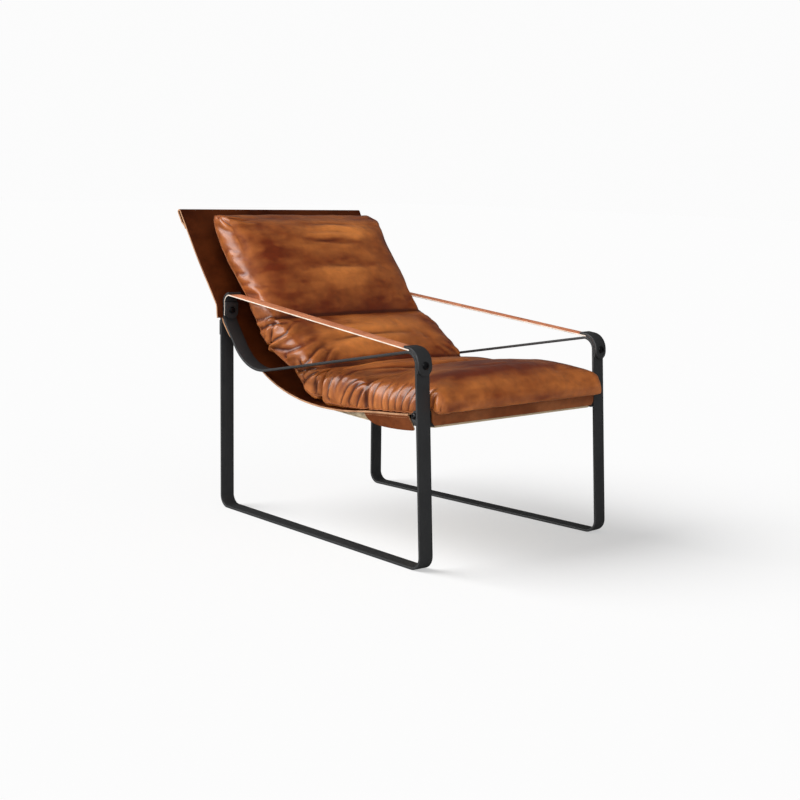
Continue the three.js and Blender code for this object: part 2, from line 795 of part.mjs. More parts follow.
// Pale lower layer: up behind the front fold, round the rail, and back under the seat
function underlaySheet() {
  const off = sling.thickness / 2 + gap + underlay.thickness / 2;
  const rearY = behindFront(underlay.rearBehind);
  const joinY = behindFront(underlay.joinBehind);
  const under = offset(seatLine, off).filter((at) => at.x < rearY && at.x > joinY);
  const level = point(behindFront(underlay.levelBehind), sling.seatRearZ - underlay.levelBelow);
  const wrapY = slingFrontY + off;
  const floor = railTop - frontRail.height - gap - underlay.thickness / 2;
  const turn = underlay.thickness / 2 + gap;
  const line = [
    ...under,
    ...roundedLine([
      { at: under[under.length - 1] },
      { at: level, radius: frame.backBend },
      { at: point(railY + frontRail.thickness, floor), radius: frame.floorBend },
      { at: point(wrapY, floor), radius: turn },
      { at: point(wrapY, floor + underlay.frontRise) },
    ]).slice(1),
  ];
  const body = toSolid(acrossX(strip(line, underlay.thickness), -frame.width, frame.width));
  const plan = [rearY, flapFront].map((y) => point(outerX(y) - underlay.inset, y));
  const front = outerX(slingFrontY) - bar.width - 2 * sling.cornerInset;
  const right = [plan[0], plan[1], point(front, railY + frontRail.bend), point(front, -frame.depth)];
  const outline = [...right, ...right.map((at) => point(-at.x, at.y)).reverse()];
  return body.intersect(toSolid(raised(outline, -overrun, frame.depth)));
}

// Where a seam's end lies: half width, y and z
function seamEnd({ inset, room, ahead, behind, below, down, rise }) {
  const y = behind === undefined ? frame.depth / 2 - ahead : behindFront(behind);
  const z = below === undefined ? frame.boltHeight - down : frame.backHeight - below;
  const half = inset === undefined ? outerX(y) - bar.width - room : sling.topHalfWidth - inset;
  return new THREE.Vector3(half, y, rise === undefined ? z : sling.seatRearZ + rise);
}

function seamLine({ rear, front }) {
  return { rear: seamEnd(rear), front: seamEnd(front) };
}

// Height of the sling's upper face, with the cushion's clearance, at a place along the depth
const faceOff = sling.thickness / 2 + cushion.clearance;
const bedEnd = meet([seatRear, seatFront], [
  point(slingFrontY - cushion.overhang, 0),
  point(slingFrontY - cushion.overhang, frame.depth),
]);
const bed = [...bedLine, bedEnd];

function slingFaceAt(y) {
  const i = bed.findIndex((at) => at.x < y);
  if (i < 1) return -frame.depth;
  const run = bed[i - 1].clone().sub(bed[i]);
  const share = (bed[i - 1].x - y) / run.x;
  return THREE.MathUtils.lerp(bed[i - 1].y, bed[i].y, share) + (faceOff * run.length()) / run.x;
}

// Closer grid lines near both ends of a -1 to 1 range
const eased = (share) => Math.sin((share * Math.PI) / 2);

// A seam's line from one end to the other, swollen to its outside in its middle
function swollen(from, to, share, swell) {
  const way = to.clone().sub(from).setX(0).normalize();
  const out = new THREE.Vector3(0, way.z, -way.y);
  return from.clone().lerp(to, share).addScaledVector(out, swell);
}

// One section between two seams: a block with rounded edges, drawn in at its sides and swollen in its middle
function cushionSection(from, to, swell) {
  const [first, second] = [from, to].map(seamLine);
  const length = (first.rear.distanceTo(second.rear) + first.front.distanceTo(second.front)) / 2;
  const depth = (first.rear.distanceTo(first.front) + second.rear.distanceTo(second.front)) / 2;
  const width = (first.rear.x + first.front.x + second.rear.x + second.front.x) / 2;
  const size = new THREE.Vector3(length, width, depth).divideScalar(2);
  const round = Math.min(cushion.edgeRound, size.x * 0.7, size.z * 0.8);
  const core = size.clone().subScalar(round);
  const box = new THREE.BoxGeometry(
    2,
    2,
    2,
    cushion.alongSegments,
    cushion.acrossSegments,
    cushion.depthSegments,
  );
  const spots = box.getAttribute("position");
  const spot = new THREE.Vector3();
  const bulge = (share) => 1 - Math.abs(share) ** cushion.swellPower;
  for (let i = 0; i < spots.count; i += 1) {
    spot.fromBufferAttribute(spots, i);
    spot.set(eased(spot.x), eased(spot.y), eased(spot.z)).multiply(size);
    const inner = spot.clone().clamp(core.clone().negate(), core);
    const rim = spot.clone().sub(inner);
    if (rim.length() > round) rim.setLength(round);
    spot.copy(inner).add(rim).divide(size);
    spot.x *= 1 - cushion.seamGap / length;
    const share = (spot.x + 1) / 2;
    const middle = bulge(spot.x) * bulge(spot.y);
    const low = swollen(first.rear, second.rear, share, -swell.rear * middle);
    const high = swollen(first.front, second.front, share, swell.front * middle);
    low.z = Math.max(low.z, slingFaceAt(low.y));
    const at = low.lerp(high, (spot.z + 1) / 2);
    const draw = cushion.sideDraw * spot.x ** 4;
    spots.setXYZ(i, spot.y * (at.x - draw), at.y, at.z);
  }
  return toGeometry(toSolid(box));
}

const finishes = {
  steel: { color: 0x2b2c2d, roughness: 0.55, metalness: 0.5 },
  screw: { color: 0x1a1a1b, roughness: 0.4, metalness: 0.7 },
  leather: { color: 0x7a3f22, roughness: 0.5, metalness: 0 },
  cushionLeather: { color: 0x8a4a26, roughness: 0.42, metalness: 0 },
  suede: { color: 0xb9a37c, roughness: 0.9, metalness: 0 },
};

const chair = new THREE.Group();
chair.name = "sling_lounge_chair";

function place(name, finish, geometry) {
  const mesh = new THREE.Mesh(geometry, new THREE.MeshStandardMaterial(finishes[finish]));
  mesh.name = name;
  chair.add(mesh);
  return mesh;
}

// A pair of pieces: the right one as drawn, and its mirror image on the left
function placePair(name, finish, geometry) {
  place(`${name}_left`, finish, geometry);
  place(`${name}_right`, finish, geometry.clone()).scale.x = -1;
}

placePair("side_frame", "steel", toGeometry(sideFrame()));
placePair("front_clamp", "steel", toGeometry(frontClamp()));
placePair("rear_clamp", "steel", toGeometry(rearClamp()));
placePair("arm_strap", "leather", toGeometry(armStrap()));
placePair("rail_bracket", "steel", toGeometry(railBracket()));
placePair("front_bolt", "screw", onRight(frontScrew()));
placePair("rear_bolt", "screw", onRight(rearScrew()));
placePair("front_nut", "screw", onRight(aimed(hexNut(clampScrew.shank), boltX, frontNutSeat, frontOut)));
placePair("rear_nut", "screw", onRight(aimed(hexNut(clampScrew.shank), boltX, rearNutSeat, rearOut)));
placePair("bracket_bolt", "screw", onRight(bracketBoltPiece()));
placePair("bracket_nut", "screw", onRight(bracketNutPiece()));
placePair("top_screw", "screw", onRight(topScrew()));
place("rear_crossbar", "steel", toGeometry(rearCrossbar()));
place("front_rail", "steel", toGeometry(frontRailBar()));
place("top_rail", "steel", toGeometry(topRailBar()));
place("sling", "leather", toGeometry(slingSheet()));
place("sling_underlay", "suede", toGeometry(underlaySheet()));
place("cushion_head", "cushionLeather", cushionSection(seams.top, seams.neck, swells.head));
place("cushion_back", "cushionLeather", cushionSection(seams.neck, seams.waist, swells.back));
place("cushion_lumbar", "cushionLeather", cushionSection(seams.waist, seams.lap, swells.lumbar));
place("cushion_seat", "cushionLeather", cushionSection(seams.lap, seams.thigh, swells.seat));
place("cushion_front", "cushionLeather", cushionSection(seams.thigh, seams.knee, swells.front));

// The origin is on the floor, under the middle of the whole chair's box
const middle = new THREE.Box3().setFromObject(chair).getCenter(new THREE.Vector3());
chair.children.forEach((mesh) => mesh.geometry.translate(0, -middle.y, 0));

export default chair;
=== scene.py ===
from math import acos, asin, atan2, ceil, cos, pi, radians, sin, tan

import bmesh
import bpy
import numpy as np
from mathutils import Matrix, Vector, noise


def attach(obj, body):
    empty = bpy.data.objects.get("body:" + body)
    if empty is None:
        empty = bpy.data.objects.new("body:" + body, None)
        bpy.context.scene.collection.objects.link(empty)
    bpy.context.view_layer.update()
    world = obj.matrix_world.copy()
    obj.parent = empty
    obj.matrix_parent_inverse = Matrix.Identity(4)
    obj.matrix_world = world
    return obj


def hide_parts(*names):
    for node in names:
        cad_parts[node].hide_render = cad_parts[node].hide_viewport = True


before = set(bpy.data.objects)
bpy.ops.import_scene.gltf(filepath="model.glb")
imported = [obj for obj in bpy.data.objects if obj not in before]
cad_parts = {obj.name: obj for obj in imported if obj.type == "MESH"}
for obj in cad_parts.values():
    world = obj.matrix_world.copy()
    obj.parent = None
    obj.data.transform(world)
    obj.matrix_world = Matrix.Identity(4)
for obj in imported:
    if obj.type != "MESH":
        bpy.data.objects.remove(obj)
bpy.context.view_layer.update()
print("packed frame loaded")

scene = bpy.context.scene
scene.view_settings.view_transform = "Standard"

# camera, floor and light
view = {"eye": (-2.5248, -2.74575, 0.8688), "turn": 43.14, "down": 8.673, "tilt": 1.602, "lens": 66.32}
light = {"room": 0.2, "mirrored": 0.08, "backdrop": 0.97, "floor": 0.95, "floorGlow": 0.5, "floorSize": 60}
# each lamp: the way it comes from, its strength and width, what it lights, and whether leather mirrors it
lamps = {
    "floor light": ((-0.64, 0.74, 1.0), 3.52, 46, "floor", False),
    "top light": ((-0.37, 0.29, 1.0), 1.1, 46, "chair", False),
    "left light": ((-2.4, 1.3, 1.2), 2.75, 50, "chair", True),
    "front light": ((-0.5, -1.0, 0.4), 1.8, 60, "chair", False),
}


def linked(name, data):
    item = bpy.data.objects.new(name, data)
    scene.collection.objects.link(item)
    return item


def setCamera():
    turn, down, tilt = (radians(view[key]) for key in ("turn", "down", "tilt"))
    ahead = Vector((sin(turn) * cos(down), cos(turn) * cos(down), -sin(down)))
    right = Vector((cos(turn), -sin(turn), 0))
    up = right.cross(ahead)
    across = right * cos(tilt) + up * sin(tilt)
    upward = up * cos(tilt) - right * sin(tilt)
    data = bpy.data.cameras.new("camera")
    data.lens, data.sensor_width = view["lens"], 36
    matrix = Matrix((across, upward, -ahead)).transposed().to_4x4()
    matrix.translation = view["eye"]
    scene.camera = linked("camera", data)
    scene.camera.matrix_world = matrix


def addLamp(name, fromWay, strength, width, lit, mirrored, floor):
    data = bpy.data.lights.new(name, "SUN")
    data.energy, data.angle = strength, radians(width)
    lamp = linked(name, data)
    lamp.rotation_euler = Vector(fromWay).to_track_quat("Z", "Y").to_euler()
    lamp.visible_glossy = mirrored
    receivers = bpy.data.collections.new(name)
    receivers.objects.link(floor)
    lamp.light_linking.receiver_collection = receivers
    receivers.collection_objects[0].light_linking.link_state = "INCLUDE" if lit == "floor" else "EXCLUDE"


def grey(level):
    return (level, level, level, 1)


def newMaterial(name):
    material = bpy.data.materials.new(name)
    material.use_nodes = True
    return material, material.node_tree, material.node_tree.nodes["Principled BSDF"]


def add(tree, kind, **links):
    node = tree.nodes.new(kind)
    wire(tree, node, links)
    return node


def wire(tree, node, links):  # a socket gets a value, or the output that feeds it; n2 is the socket with number 2
    for label, source in links.items():
        key = int(label[1:]) if label[0] == "n" and label[1:].isdigit() else label.replace("_", " ")
        if isinstance(source, bpy.types.NodeSocket):
            tree.links.new(source, node.inputs[key])
        else:
            node.inputs[key].default_value = source


def maths(tree, operation, first, second=0.0, third=0.0, clamp=False):
    node = add(tree, "ShaderNodeMath", n0=first, n1=second, n2=third)
    node.operation, node.use_clamp = operation, clamp
    return node.outputs[0]


def endWith(tree, share, first, second, output):  # the tree puts out a share of two shaders
    mix = add(tree, "ShaderNodeMixShader", n0=share, n1=first.outputs[0], n2=second.outputs[0])
    tree.links.new(mix.outputs[0], tree.nodes[output].inputs["Surface"])


def seenShare(tree):  # 1 for what the camera sees, 0 for light on the chair
    path = add(tree, "ShaderNodeLightPath").outputs
    return maths(tree, "MAXIMUM", path["Is Camera Ray"], path["Is Transmission Ray"])


def setWorld():
    world = bpy.data.worlds.new("studio")
    scene.world = world
    world.use_nodes = True
    tree = world.node_tree
    room = tree.nodes["Background"]
    glossy = add(tree, "ShaderNodeLightPath").outputs["Is Glossy Ray"]
    level = maths(tree, "MULTIPLY_ADD", glossy, light["mirrored"] - light["room"], light["room"])
    wire(tree, room, {"Color": grey(1), "Strength": level})
    backdrop = add(tree, "ShaderNodeBackground", Color=grey(light["backdrop"]))
    endWith(tree, seenShare(tree), room, backdrop, "World Output")


def setFloor():
    bpy.ops.mesh.primitive_plane_add(size=light["floorSize"])
    floor = bpy.context.object
    floor.name = "studio_floor"
    material, tree, shader = newMaterial("studio floor")
    wire(tree, shader, {"Base Color": grey(light["floor"]), "Roughness": 0.9, "Specular IOR Level": 0.0})
    glow = add(tree, "ShaderNodeEmission", Color=grey(1), Strength=1.0)
    endWith(tree, maths(tree, "MULTIPLY", seenShare(tree), light["floorGlow"]), shader, glow, "Material Output")
    floor.data.materials.append(material)
    floor.visible_glossy = False
    return floor


setCamera()
setWorld()
studioFloor = setFloor()
for name, values in lamps.items():
    addLamp(name, *values, studioFloor)
print("camera, floor and light placed")


# shader parts shared by the materials
def shaderGroup(name, inputs, outputs):
    tree = bpy.data.node_groups.new(name, "ShaderNodeTree")
    kinds = {"value": "NodeSocketFloat", "vector": "NodeSocketVector"}
    for side, sockets in (("INPUT", inputs), ("OUTPUT", outputs)):
        for label, kind in sockets.items():
            tree.interface.new_socket(label, in_out=side, socket_type=kinds[kind])
    return tree, add(tree, "NodeGroupInput").outputs, add(tree, "NodeGroupOutput")


def useGroup(tree, group, **values):
    node = tree.nodes.new("ShaderNodeGroup")
    node.node_tree = group
    wire(tree, node, values)
    return node.outputs


def ramp(tree, source, *stops):
    node = add(tree, "ShaderNodeValToRGB", Fac=source)
    elements = node.color_ramp.elements
    while len(elements) < len(stops):
        elements.new(0.5)
    for element, (place, level) in zip(elements, stops):
        element.position = place
        element.color = level + (1,) if isinstance(level, tuple) else grey(level)
    return node.outputs["Color"]


def blendColour(tree, share, first, second, mode="MIX"):
    node = add(tree, "ShaderNodeMix")
    node.data_type, node.blend_type = "RGBA", mode
    wire(tree, node, {"n0": share, "n6": first, "n7": second})
    return node.outputs[2]


def objectPlace(tree):
    return add(tree, "ShaderNodeTexCoord").outputs["Object"]


def clouds(tree, place, scale, detail, **more):
    return add(tree, "ShaderNodeTexNoise", Vector=place, Scale=scale, Detail=detail, **more).outputs["Fac"]


def bumped(tree, height, distance, strength):
    return add(tree, "ShaderNodeBump", Height=height, Distance=distance, Strength=strength).outputs[0]


def readShare(tree, name):  # a value marked on the mesh's points
    node = add(tree, "ShaderNodeAttribute")
    node.attribute_name = name
    return node.outputs["Fac"]


def vectorMaths(tree, operation, *values):
    node = add(tree, "ShaderNodeVectorMath", **{f"n{number}": value for number, value in enumerate(values)})
    node.operation = operation
    return node.outputs[0]


def makeGrain():  # pebbled hide: small closed cells, softened by a finer noise
    inputs, outputs = {"Cells": "value", "Fine": "value"}, {"Height": "value", "Pores": "value"}
    tree, given, out = shaderGroup("hide grain", inputs, outputs)
    place = objectPlace(tree)
    drift = add(tree, "ShaderNodeTexNoise", Vector=place, Scale=90.0, Detail=2.0).outputs["Color"]
    bent = vectorMaths(tree, "MULTIPLY_ADD", drift, (0.0016, 0.0016, 0.0016), place)
    cells = add(tree, "ShaderNodeTexVoronoi", Vector=bent, Scale=given["Cells"])
    cells.feature = "DISTANCE_TO_EDGE"
    body = ramp(tree, cells.outputs["Distance"], (0.0, 0.0), (0.16, 0.75), (0.5, 1.0))
    fine = maths(tree, "MULTIPLY", clouds(tree, place, given["Fine"], 4.0), 0.6)
    wire(tree, out, {"Height": maths(tree, "ADD", body, fine), "Pores": body})
    return tree


def makePatches():  # large cloudy patches, streaked along one way, as on waxed hide
    inputs = {"Size": "value", "Streak": "vector", "Cut": "value"}
    tree, given, out = shaderGroup("hide patches", inputs, {"Mask": "value", "Mottle": "value"})
    place = objectPlace(tree)
    drawn = vectorMaths(tree, "MULTIPLY", place, given["Streak"])
    cloud = clouds(tree, drawn, given["Size"], 5.0, Roughness=0.58, Distortion=0.4)
    shifted = maths(tree, "MULTIPLY", maths(tree, "SUBTRACT", cloud, given["Cut"]), 4.5)
    mask = maths(tree, "ADD", shifted, 0.5, clamp=True)
    wire(tree, out, {"Mask": mask, "Mottle": clouds(tree, place, 46.0, 6.0, Roughness=0.65)})
    return tree


grainGroup, patchGroup = makeGrain(), makePatches()

# leathers: each with its ground, its worn patches and, on the cushion, a deep colour painted as shade into its fold
# hollows and seams, as linear colours
hides = {
    "cushion": {"ground": (0.168, 0.0235, 0.002), "worn": (0.76, 0.245, 0.05), "deep": (0.05, 0.007, 0.001),
                "size": 5.2, "cut": 0.46, "rough": 0.44, "cells": 620, "bump": 0.00013, "coat": 1.0, "gloss": 0.2},
    # saddle (the sling), flap and band are one leather in three tones: the sling's is darkened as painted shade, and
    # the band's, on the sling's rolled front, is lightened as painted light
    "saddle": {"ground": (0.05, 0.0085, 0.0018), "worn": (0.095, 0.02, 0.004),
               "size": 4.0, "cut": 0.5, "rough": 0.5, "cells": 900, "bump": 0.0001, "coat": 0.0, "gloss": 0.12},
    "flap": {"ground": (0.105, 0.024, 0.006), "worn": (0.17, 0.046, 0.013),
             "size": 7.0, "cut": 0.48, "rough": 0.5, "cells": 900, "bump": 0.0001, "coat": 0.0, "gloss": 0.05},
    "band": {"ground": (0.19, 0.05, 0.013), "worn": (0.29, 0.092, 0.028),
             "size": 6.0, "cut": 0.5, "rough": 0.45, "cells": 900, "bump": 0.0001, "coat": 0.2, "gloss": 0.1},
    # the strap's light tan is partly its own tone and partly painted sheen, the grazing reflection on its top
    "strap": {"ground": (0.66, 0.222, 0.105), "worn": (0.78, 0.3, 0.15),
              "size": 9.0, "cut": 0.5, "rough": 0.5, "cells": 1100, "bump": 0.0001, "coat": 0.0, "gloss": 0.25},
}
# the edging is lighter than the cushion's ground: a painted highlight along its lit line
hides["piping"] = {**hides["strap"], "ground": (0.3, 0.085, 0.025), "worn": (0.4, 0.13, 0.045)}
# how much each layer of a hide tells; the hollow and seam layers are painted shade, darkening towards the deep colour
layers = {"patch": 0.22, "crest": 0.22, "mottle": 0.75, "hollowShade": 0.8, "seam": 0.9, "pores": 0.6, "spread": 0.16}


def hideMaterial(name, hide):  # one with a deep colour reads its folds, seams and wear from the mesh, and paints shade into its fold hollows and seams
    material, tree, shader = newMaterial(name)
    patches = useGroup(tree, patchGroup, Size=hide["size"], Streak=(1.0, 1.5, 2.3), Cut=hide["cut"])
    mask, mottle, folded = patches["Mask"], patches["Mottle"], "deep" in hide
    if folded:
        fold = readShare(tree, "fold")
        crest = maths(tree, "MULTIPLY", ramp(tree, fold, (0.5, 0.0), (0.66, 1.0)), layers["crest"])
        mask = maths(tree, "ADD", maths(tree, "MULTIPLY", mask, layers["patch"]), crest)
        mask = maths(tree, "ADD", mask, readShare(tree, "worn"), clamp=True)
    tone = blendColour(tree, mask, hide["ground"] + (1,), hide["worn"] + (1,))
    tone = blendColour(tree, layers["mottle"], tone, ramp(tree, mottle, (0.3, 0.62), (0.7, 1.0)), "MULTIPLY")
    # painted shade: fold hollows and the seam lines darken towards the deep colour
    if folded:
        hollowShade = maths(tree, "MULTIPLY", ramp(tree, fold, (0.08, 1.0), (0.42, 0.0)), layers["hollowShade"])
        seamLine = maths(tree, "MULTIPLY", readShare(tree, "seam"), layers["seam"])
        shade = maths(tree, "MAXIMUM", hollowShade, seamLine)
        tone = blendColour(tree, shade, tone, hide["deep"] + (1,))
    grain = useGroup(tree, grainGroup, Cells=hide["cells"], Fine=1400.0)
    pores = ramp(tree, grain["Pores"], (0.0, 0.8), (1.0, 1.0))
    rough = maths(tree, "MULTIPLY_ADD", mottle, layers["spread"], hide["rough"] - layers["spread"] / 2)
    wire(tree, shader, {
        "Base Color": blendColour(tree, layers["pores"], tone, pores, "MULTIPLY"), "Roughness": rough,
        "Normal": bumped(tree, grain["Height"], hide["bump"], 1.0), "Specular IOR Level": hide["gloss"],
        "Coat Weight": hide["coat"], "Coat Roughness": 0.28})
    return material


def steelMaterial(name, colour, rough, speckle):
    material, tree, shader = newMaterial(name)
    place = objectPlace(tree)
    fine = clouds(tree, place, speckle, 3.0)
    dull = tuple(0.82 * c for c in colour)
    wire(tree, shader, {
        "Base Color": ramp(tree, clouds(tree, place, 14.0, 4.0), (0.3, dull), (0.7, colour)),
        "Roughness": maths(tree, "MULTIPLY_ADD", fine, 0.2, rough - 0.1),
        "Normal": bumped(tree, fine, 0.00012, 0.7), "Specular IOR Level": 0.4})
    return material


def rawEdgeMaterial(name, pale, dark):  # cut fibres: fine layers along the edge
    material, tree, shader = newMaterial(name)
    place = objectPlace(tree)
    fibres = clouds(tree, place, 380.0, 5.0, Roughness=0.7)
    smear = maths(tree, "MULTIPLY", clouds(tree, place, 24.0, 3.0), 0.5)
    mixed = maths(tree, "ADD", maths(tree, "MULTIPLY", fibres, 0.5), smear)
    wire(tree, shader, {"Base Color": ramp(tree, mixed, (0.34, dark), (0.56, pale)), "Roughness": 0.75,
                        "Normal": bumped(tree, fibres, 0.0003, 0.6)})
    return material


def wovenMaterial(name, pale, dark):  # plain webbing: warp and weft as two crossed waves
    material, tree, shader = newMaterial(name)
    place = objectPlace(tree)
    waves = []
    for axis in ("X", "Y"):
        wave = add(tree, "ShaderNodeTexWave", Vector=place, Scale=150.0, Distortion=0.6, Detail=1.0)
        wave.bands_direction = axis
        waves.append(wave.outputs["Fac"])
    weave = maths(tree, "MAXIMUM", *waves)
    mottle = useGroup(tree, patchGroup, Size=9.0, Streak=(1.0, 1.0, 1.0), Cut=0.45)["Mottle"]
    tone = ramp(tree, weave, (0.35, dark), (0.9, pale))
    tone = blendColour(tree, 1.0, tone, ramp(tree, mottle, (0.3, 0.78), (0.7, 1.0)), "MULTIPLY")
    wire(tree, shader, {"Base Color": tone, "Roughness": 0.85, "Normal": bumped(tree, weave, 0.0005, 0.8),
                        "Sheen Weight": 0.2})
    return material


cushionHide = hideMaterial("waxed cushion hide", hides["cushion"])
shadedSaddleHide, litBandHide, flapHide, strapHideAndSheen, pipingHighlightHide = (
    hideMaterial(f"{name} hide", hides[name]) for name in ("saddle", "band", "flap", "strap", "piping"))
blackCoat = steelMaterial("black powder coat", (0.0275, 0.028, 0.029), 0.46, 2600.0)
blackScrew = steelMaterial("blackened screw", (0.004, 0.004, 0.0045), 0.35, 900.0)
paleEdge = rawEdgeMaterial("pale raw edge", (0.80, 0.70, 0.60), (0.52, 0.38, 0.28))
tanEdge = rawEdgeMaterial("tan raw edge", (0.46, 0.24, 0.12), (0.20, 0.075, 0.03))
webbing = wovenMaterial("pale webbing", (0.60, 0.47, 0.30), (0.30, 0.22, 0.13))
thread = rawEdgeMaterial("waxed thread", (0.42, 0.20, 0.09), (0.25, 0.10, 0.04))
print("materials made")


# side drawings in millimetres: a point is (y, z)
side = {
    "width": 640, "depth": 800, "toeIn": 39, "bar": 38, "steel": 6, "gap": 0.3, "frontSetback": 36,
    "rearSetback": 11, "armFront": 492, "armLow": 364, "armLowAhead": 111, "sweepTop": 491, "bolt": 514,
    "frontBolt": 457, "armRear": 561, "backHeight": 765, "backReach": 150, "backMidUp": 0.515, "backMidReach": 0.547,
    "floorBend": 28, "armBend": 28, "sweepBend": 140, "hitchBend": 30, "rearBend": 25, "backBend": 600,
    "kneeBend": 16, "tip": 8, "originY": -75.95,
}


def at(y, z):
    return np.array((y, z), float)


def unit(way):
    return way / np.hypot(*way)


def leftOf(start, end):
    way = unit(end - start)
    return at(-way[1], way[0])


def beside(line, distance):
    shift = leftOf(*line) * distance
    return [line[0] + shift, line[1] + shift]


def levelAt(z):
    return [at(0, z), at(side["depth"], z)]


def cross2(a, b):
    return a[0] * b[1] - a[1] * b[0]


def meet(first, second):
    ways = first[1] - first[0], second[1] - second[0]
    return first[0] + ways[0] * cross2(second[0] - first[0], ways[1]) / cross2(*ways)


def towards(start, end, distance):
    return start + unit(end - start) * distance


def turned(vector, angle):
    y, z = vector
    return at(y * cos(angle) - z * sin(angle), y * sin(angle) + z * cos(angle))


def roundedLine(corners, step=radians(4)):  # corners are (point, radius); the ends have radius 0
    line = []
    for i, (corner, radius) in enumerate(corners):
        if not radius:
            line.append(corner)
            continue
        before, after = unit(corners[i - 1][0] - corner), unit(corners[i + 1][0] - corner)
        half = acos(max(-1, min(1, before @ after))) / 2
        centre = towards(corner, corner + before + after, radius / sin(half))
        start = towards(corner, corners[i - 1][0], radius / tan(half)) - centre
        sweep = (pi - 2 * half) * (1 if cross2(-before, after) > 0 else -1)
        steps = max(2, ceil(abs(sweep) / step))
        line += [turned(start, sweep * k / steps) + centre for k in range(steps + 1)]
    return line


def offsetLine(line, distance):
    moved = []
    for i, spot in enumerate(line):
        before = leftOf(line[max(i - 1, 0)], line[max(i, 1)])
        after = leftOf(line[min(i, len(line) - 2)], line[min(i + 1, len(line) - 1)])
        moved.append(spot + (before + after) * distance / (1 + before @ after))
    return moved


def lengthsOf(line):
    steps = np.hypot(*np.diff(np.array(line), axis=0).T)
    return np.concatenate([[0], np.cumsum(steps)])


def respaced(line, pitch):
    along = lengthsOf(line)
    places = np.linspace(0, along[-1], max(2, round(along[-1] / pitch) + 1))
    line = np.array(line)
    return [np.array([np.interp(place, along, column) for column in line.T]) for place in places]


def outerX(y):
    return side["width"] / 2 - side["toeIn"] * (y + side["depth"] / 2) / side["depth"]


toe = asin(side["toeIn"] / side["depth"])
skew = side["bar"] * sin(toe)
halfBar = side["steel"] / 2
rearShift = (skew + side["depth"] * (1 - cos(toe))) / 2
rightSide = Matrix.Translation(((side["width"] - side["toeIn"]) / 2, rearShift, 0)) @ Matrix.Rotation(toe, 4, "Z")
origin = Vector((0, side["originY"] / 1000, 0))
toMetres = Matrix.Translation(origin) @ Matrix.Diagonal((0.001, 0.001, 0.001, 1))
mirror = Matrix.Diagonal((-1, 1, 1, 1))

# centre lines of the bent bar
gap, depth = side["gap"], side["depth"]
floorLine = [at(0, halfBar), at(-depth / 2, halfBar)]
frontFoot, rearFoot = at(halfBar - depth / 2, 0), at(depth / 2 - halfBar, 0)
frontLeg = [frontFoot, at(frontFoot[0] + side["frontSetback"], side["armFront"])]
rearLeg = [at(rearFoot[0] + side["rearSetback"], side["bolt"]), rearFoot]
sling = {
    "thick": 4, "topHalf": 311, "boltHalf": 297, "seatInset": 4, "flapOutset": 4, "notchTop": 20, "notchBottom": 66,
    "notchRound": 20, "hemDepth": 45, "hemRoom": 1.5, "pull": 115, "sag": 245, "seatRear": (-149, 324.5),
    "rise": 0.162, "frontY": -374.8, "frontRound": 9, "frontDrop": 38.5, "cornerInset": 5, "cornerCut": 8,
    "edgeSag": 11, "sagWidth": 60, "sagRear": -130, "sagLow": -320, "sagFront": -374, "sagRun": 30,
    "hemGap": 0.15, "hemLap": 9, "hemRise": 20, "hemRound": 12, "notchEase": 6, "bandBehind": 9, "backFrom": 200,
    "seatBelow": 400, "pitch": 9, "frontPitch": 5, "columns": 44, "flatWidth": 0.61, "meanWidth": 0.545,
    "edge": (0.0009, 2),
}
topRail = {"height": 25, "thick": 5, "below": 18}
slot = sling["thick"] + skew + 2 * gap
slotMid = beside(rearLeg, -halfBar - slot / 2)
stripUp = beside([rearLeg[1], rearLeg[0]], side["steel"] + slot)
sweepLow = at(depth / 2 - side["armLowAhead"], side["armLow"])
sweepHigh = at(stripUp[1][0], side["sweepTop"])
armTop = meet(frontLeg, [sweepLow, at(-depth / 2, side["armFront"] + side["steel"])])
hitch = meet([sweepLow, sweepHigh], stripUp)
strap = {"thick": 3, "edge": 0.9, "frontTail": 34, "rearTail": 14, "darkFront": 30, "darkRear": 268}
strapOff = halfBar + gap + strap["thick"] / 2
rearTop = meet(stripUp, levelAt(side["armRear"]))
tipEnd = towards(rearTop, armTop, side["rearBend"] + side["tip"])

# the sling's middle line: down the back, through the slot, under the seat
slotTop = meet(slotMid, levelAt(side["bolt"] + strap["rearTail"]))
backTop = at(slotTop[0] + side["backReach"], side["backHeight"])
backMid = at(slotTop[0] + side["backReach"] * side["backMidReach"],
             slotTop[1] + (side["backHeight"] - slotTop[1]) * side["backMidUp"])
sweepUnder = beside([sweepLow, sweepHigh], -halfBar - slot / 2)
slotLow = meet(slotMid, sweepUnder)
sweepLeave = towards(meet(sweepUnder, [sweepLow, sweepLow + at(1, -1)]), slotLow, side["sweepBend"] * 0.6)
seatRear = at(*sling["seatRear"])
seatWay = unit(at(-1, sling["rise"]))
seatFront = meet([seatRear, seatRear + seatWay], [at(sling["frontY"], 0), at(sling["frontY"], 500)])


def bezier(spots, steps):
    line = []
    for share in np.linspace(0, 1, steps):
        level = spots
        while len(level) > 1:
            level = [start + (end - start) * share for start, end in zip(level, level[1:])]
        line.append(level[0])
    return line


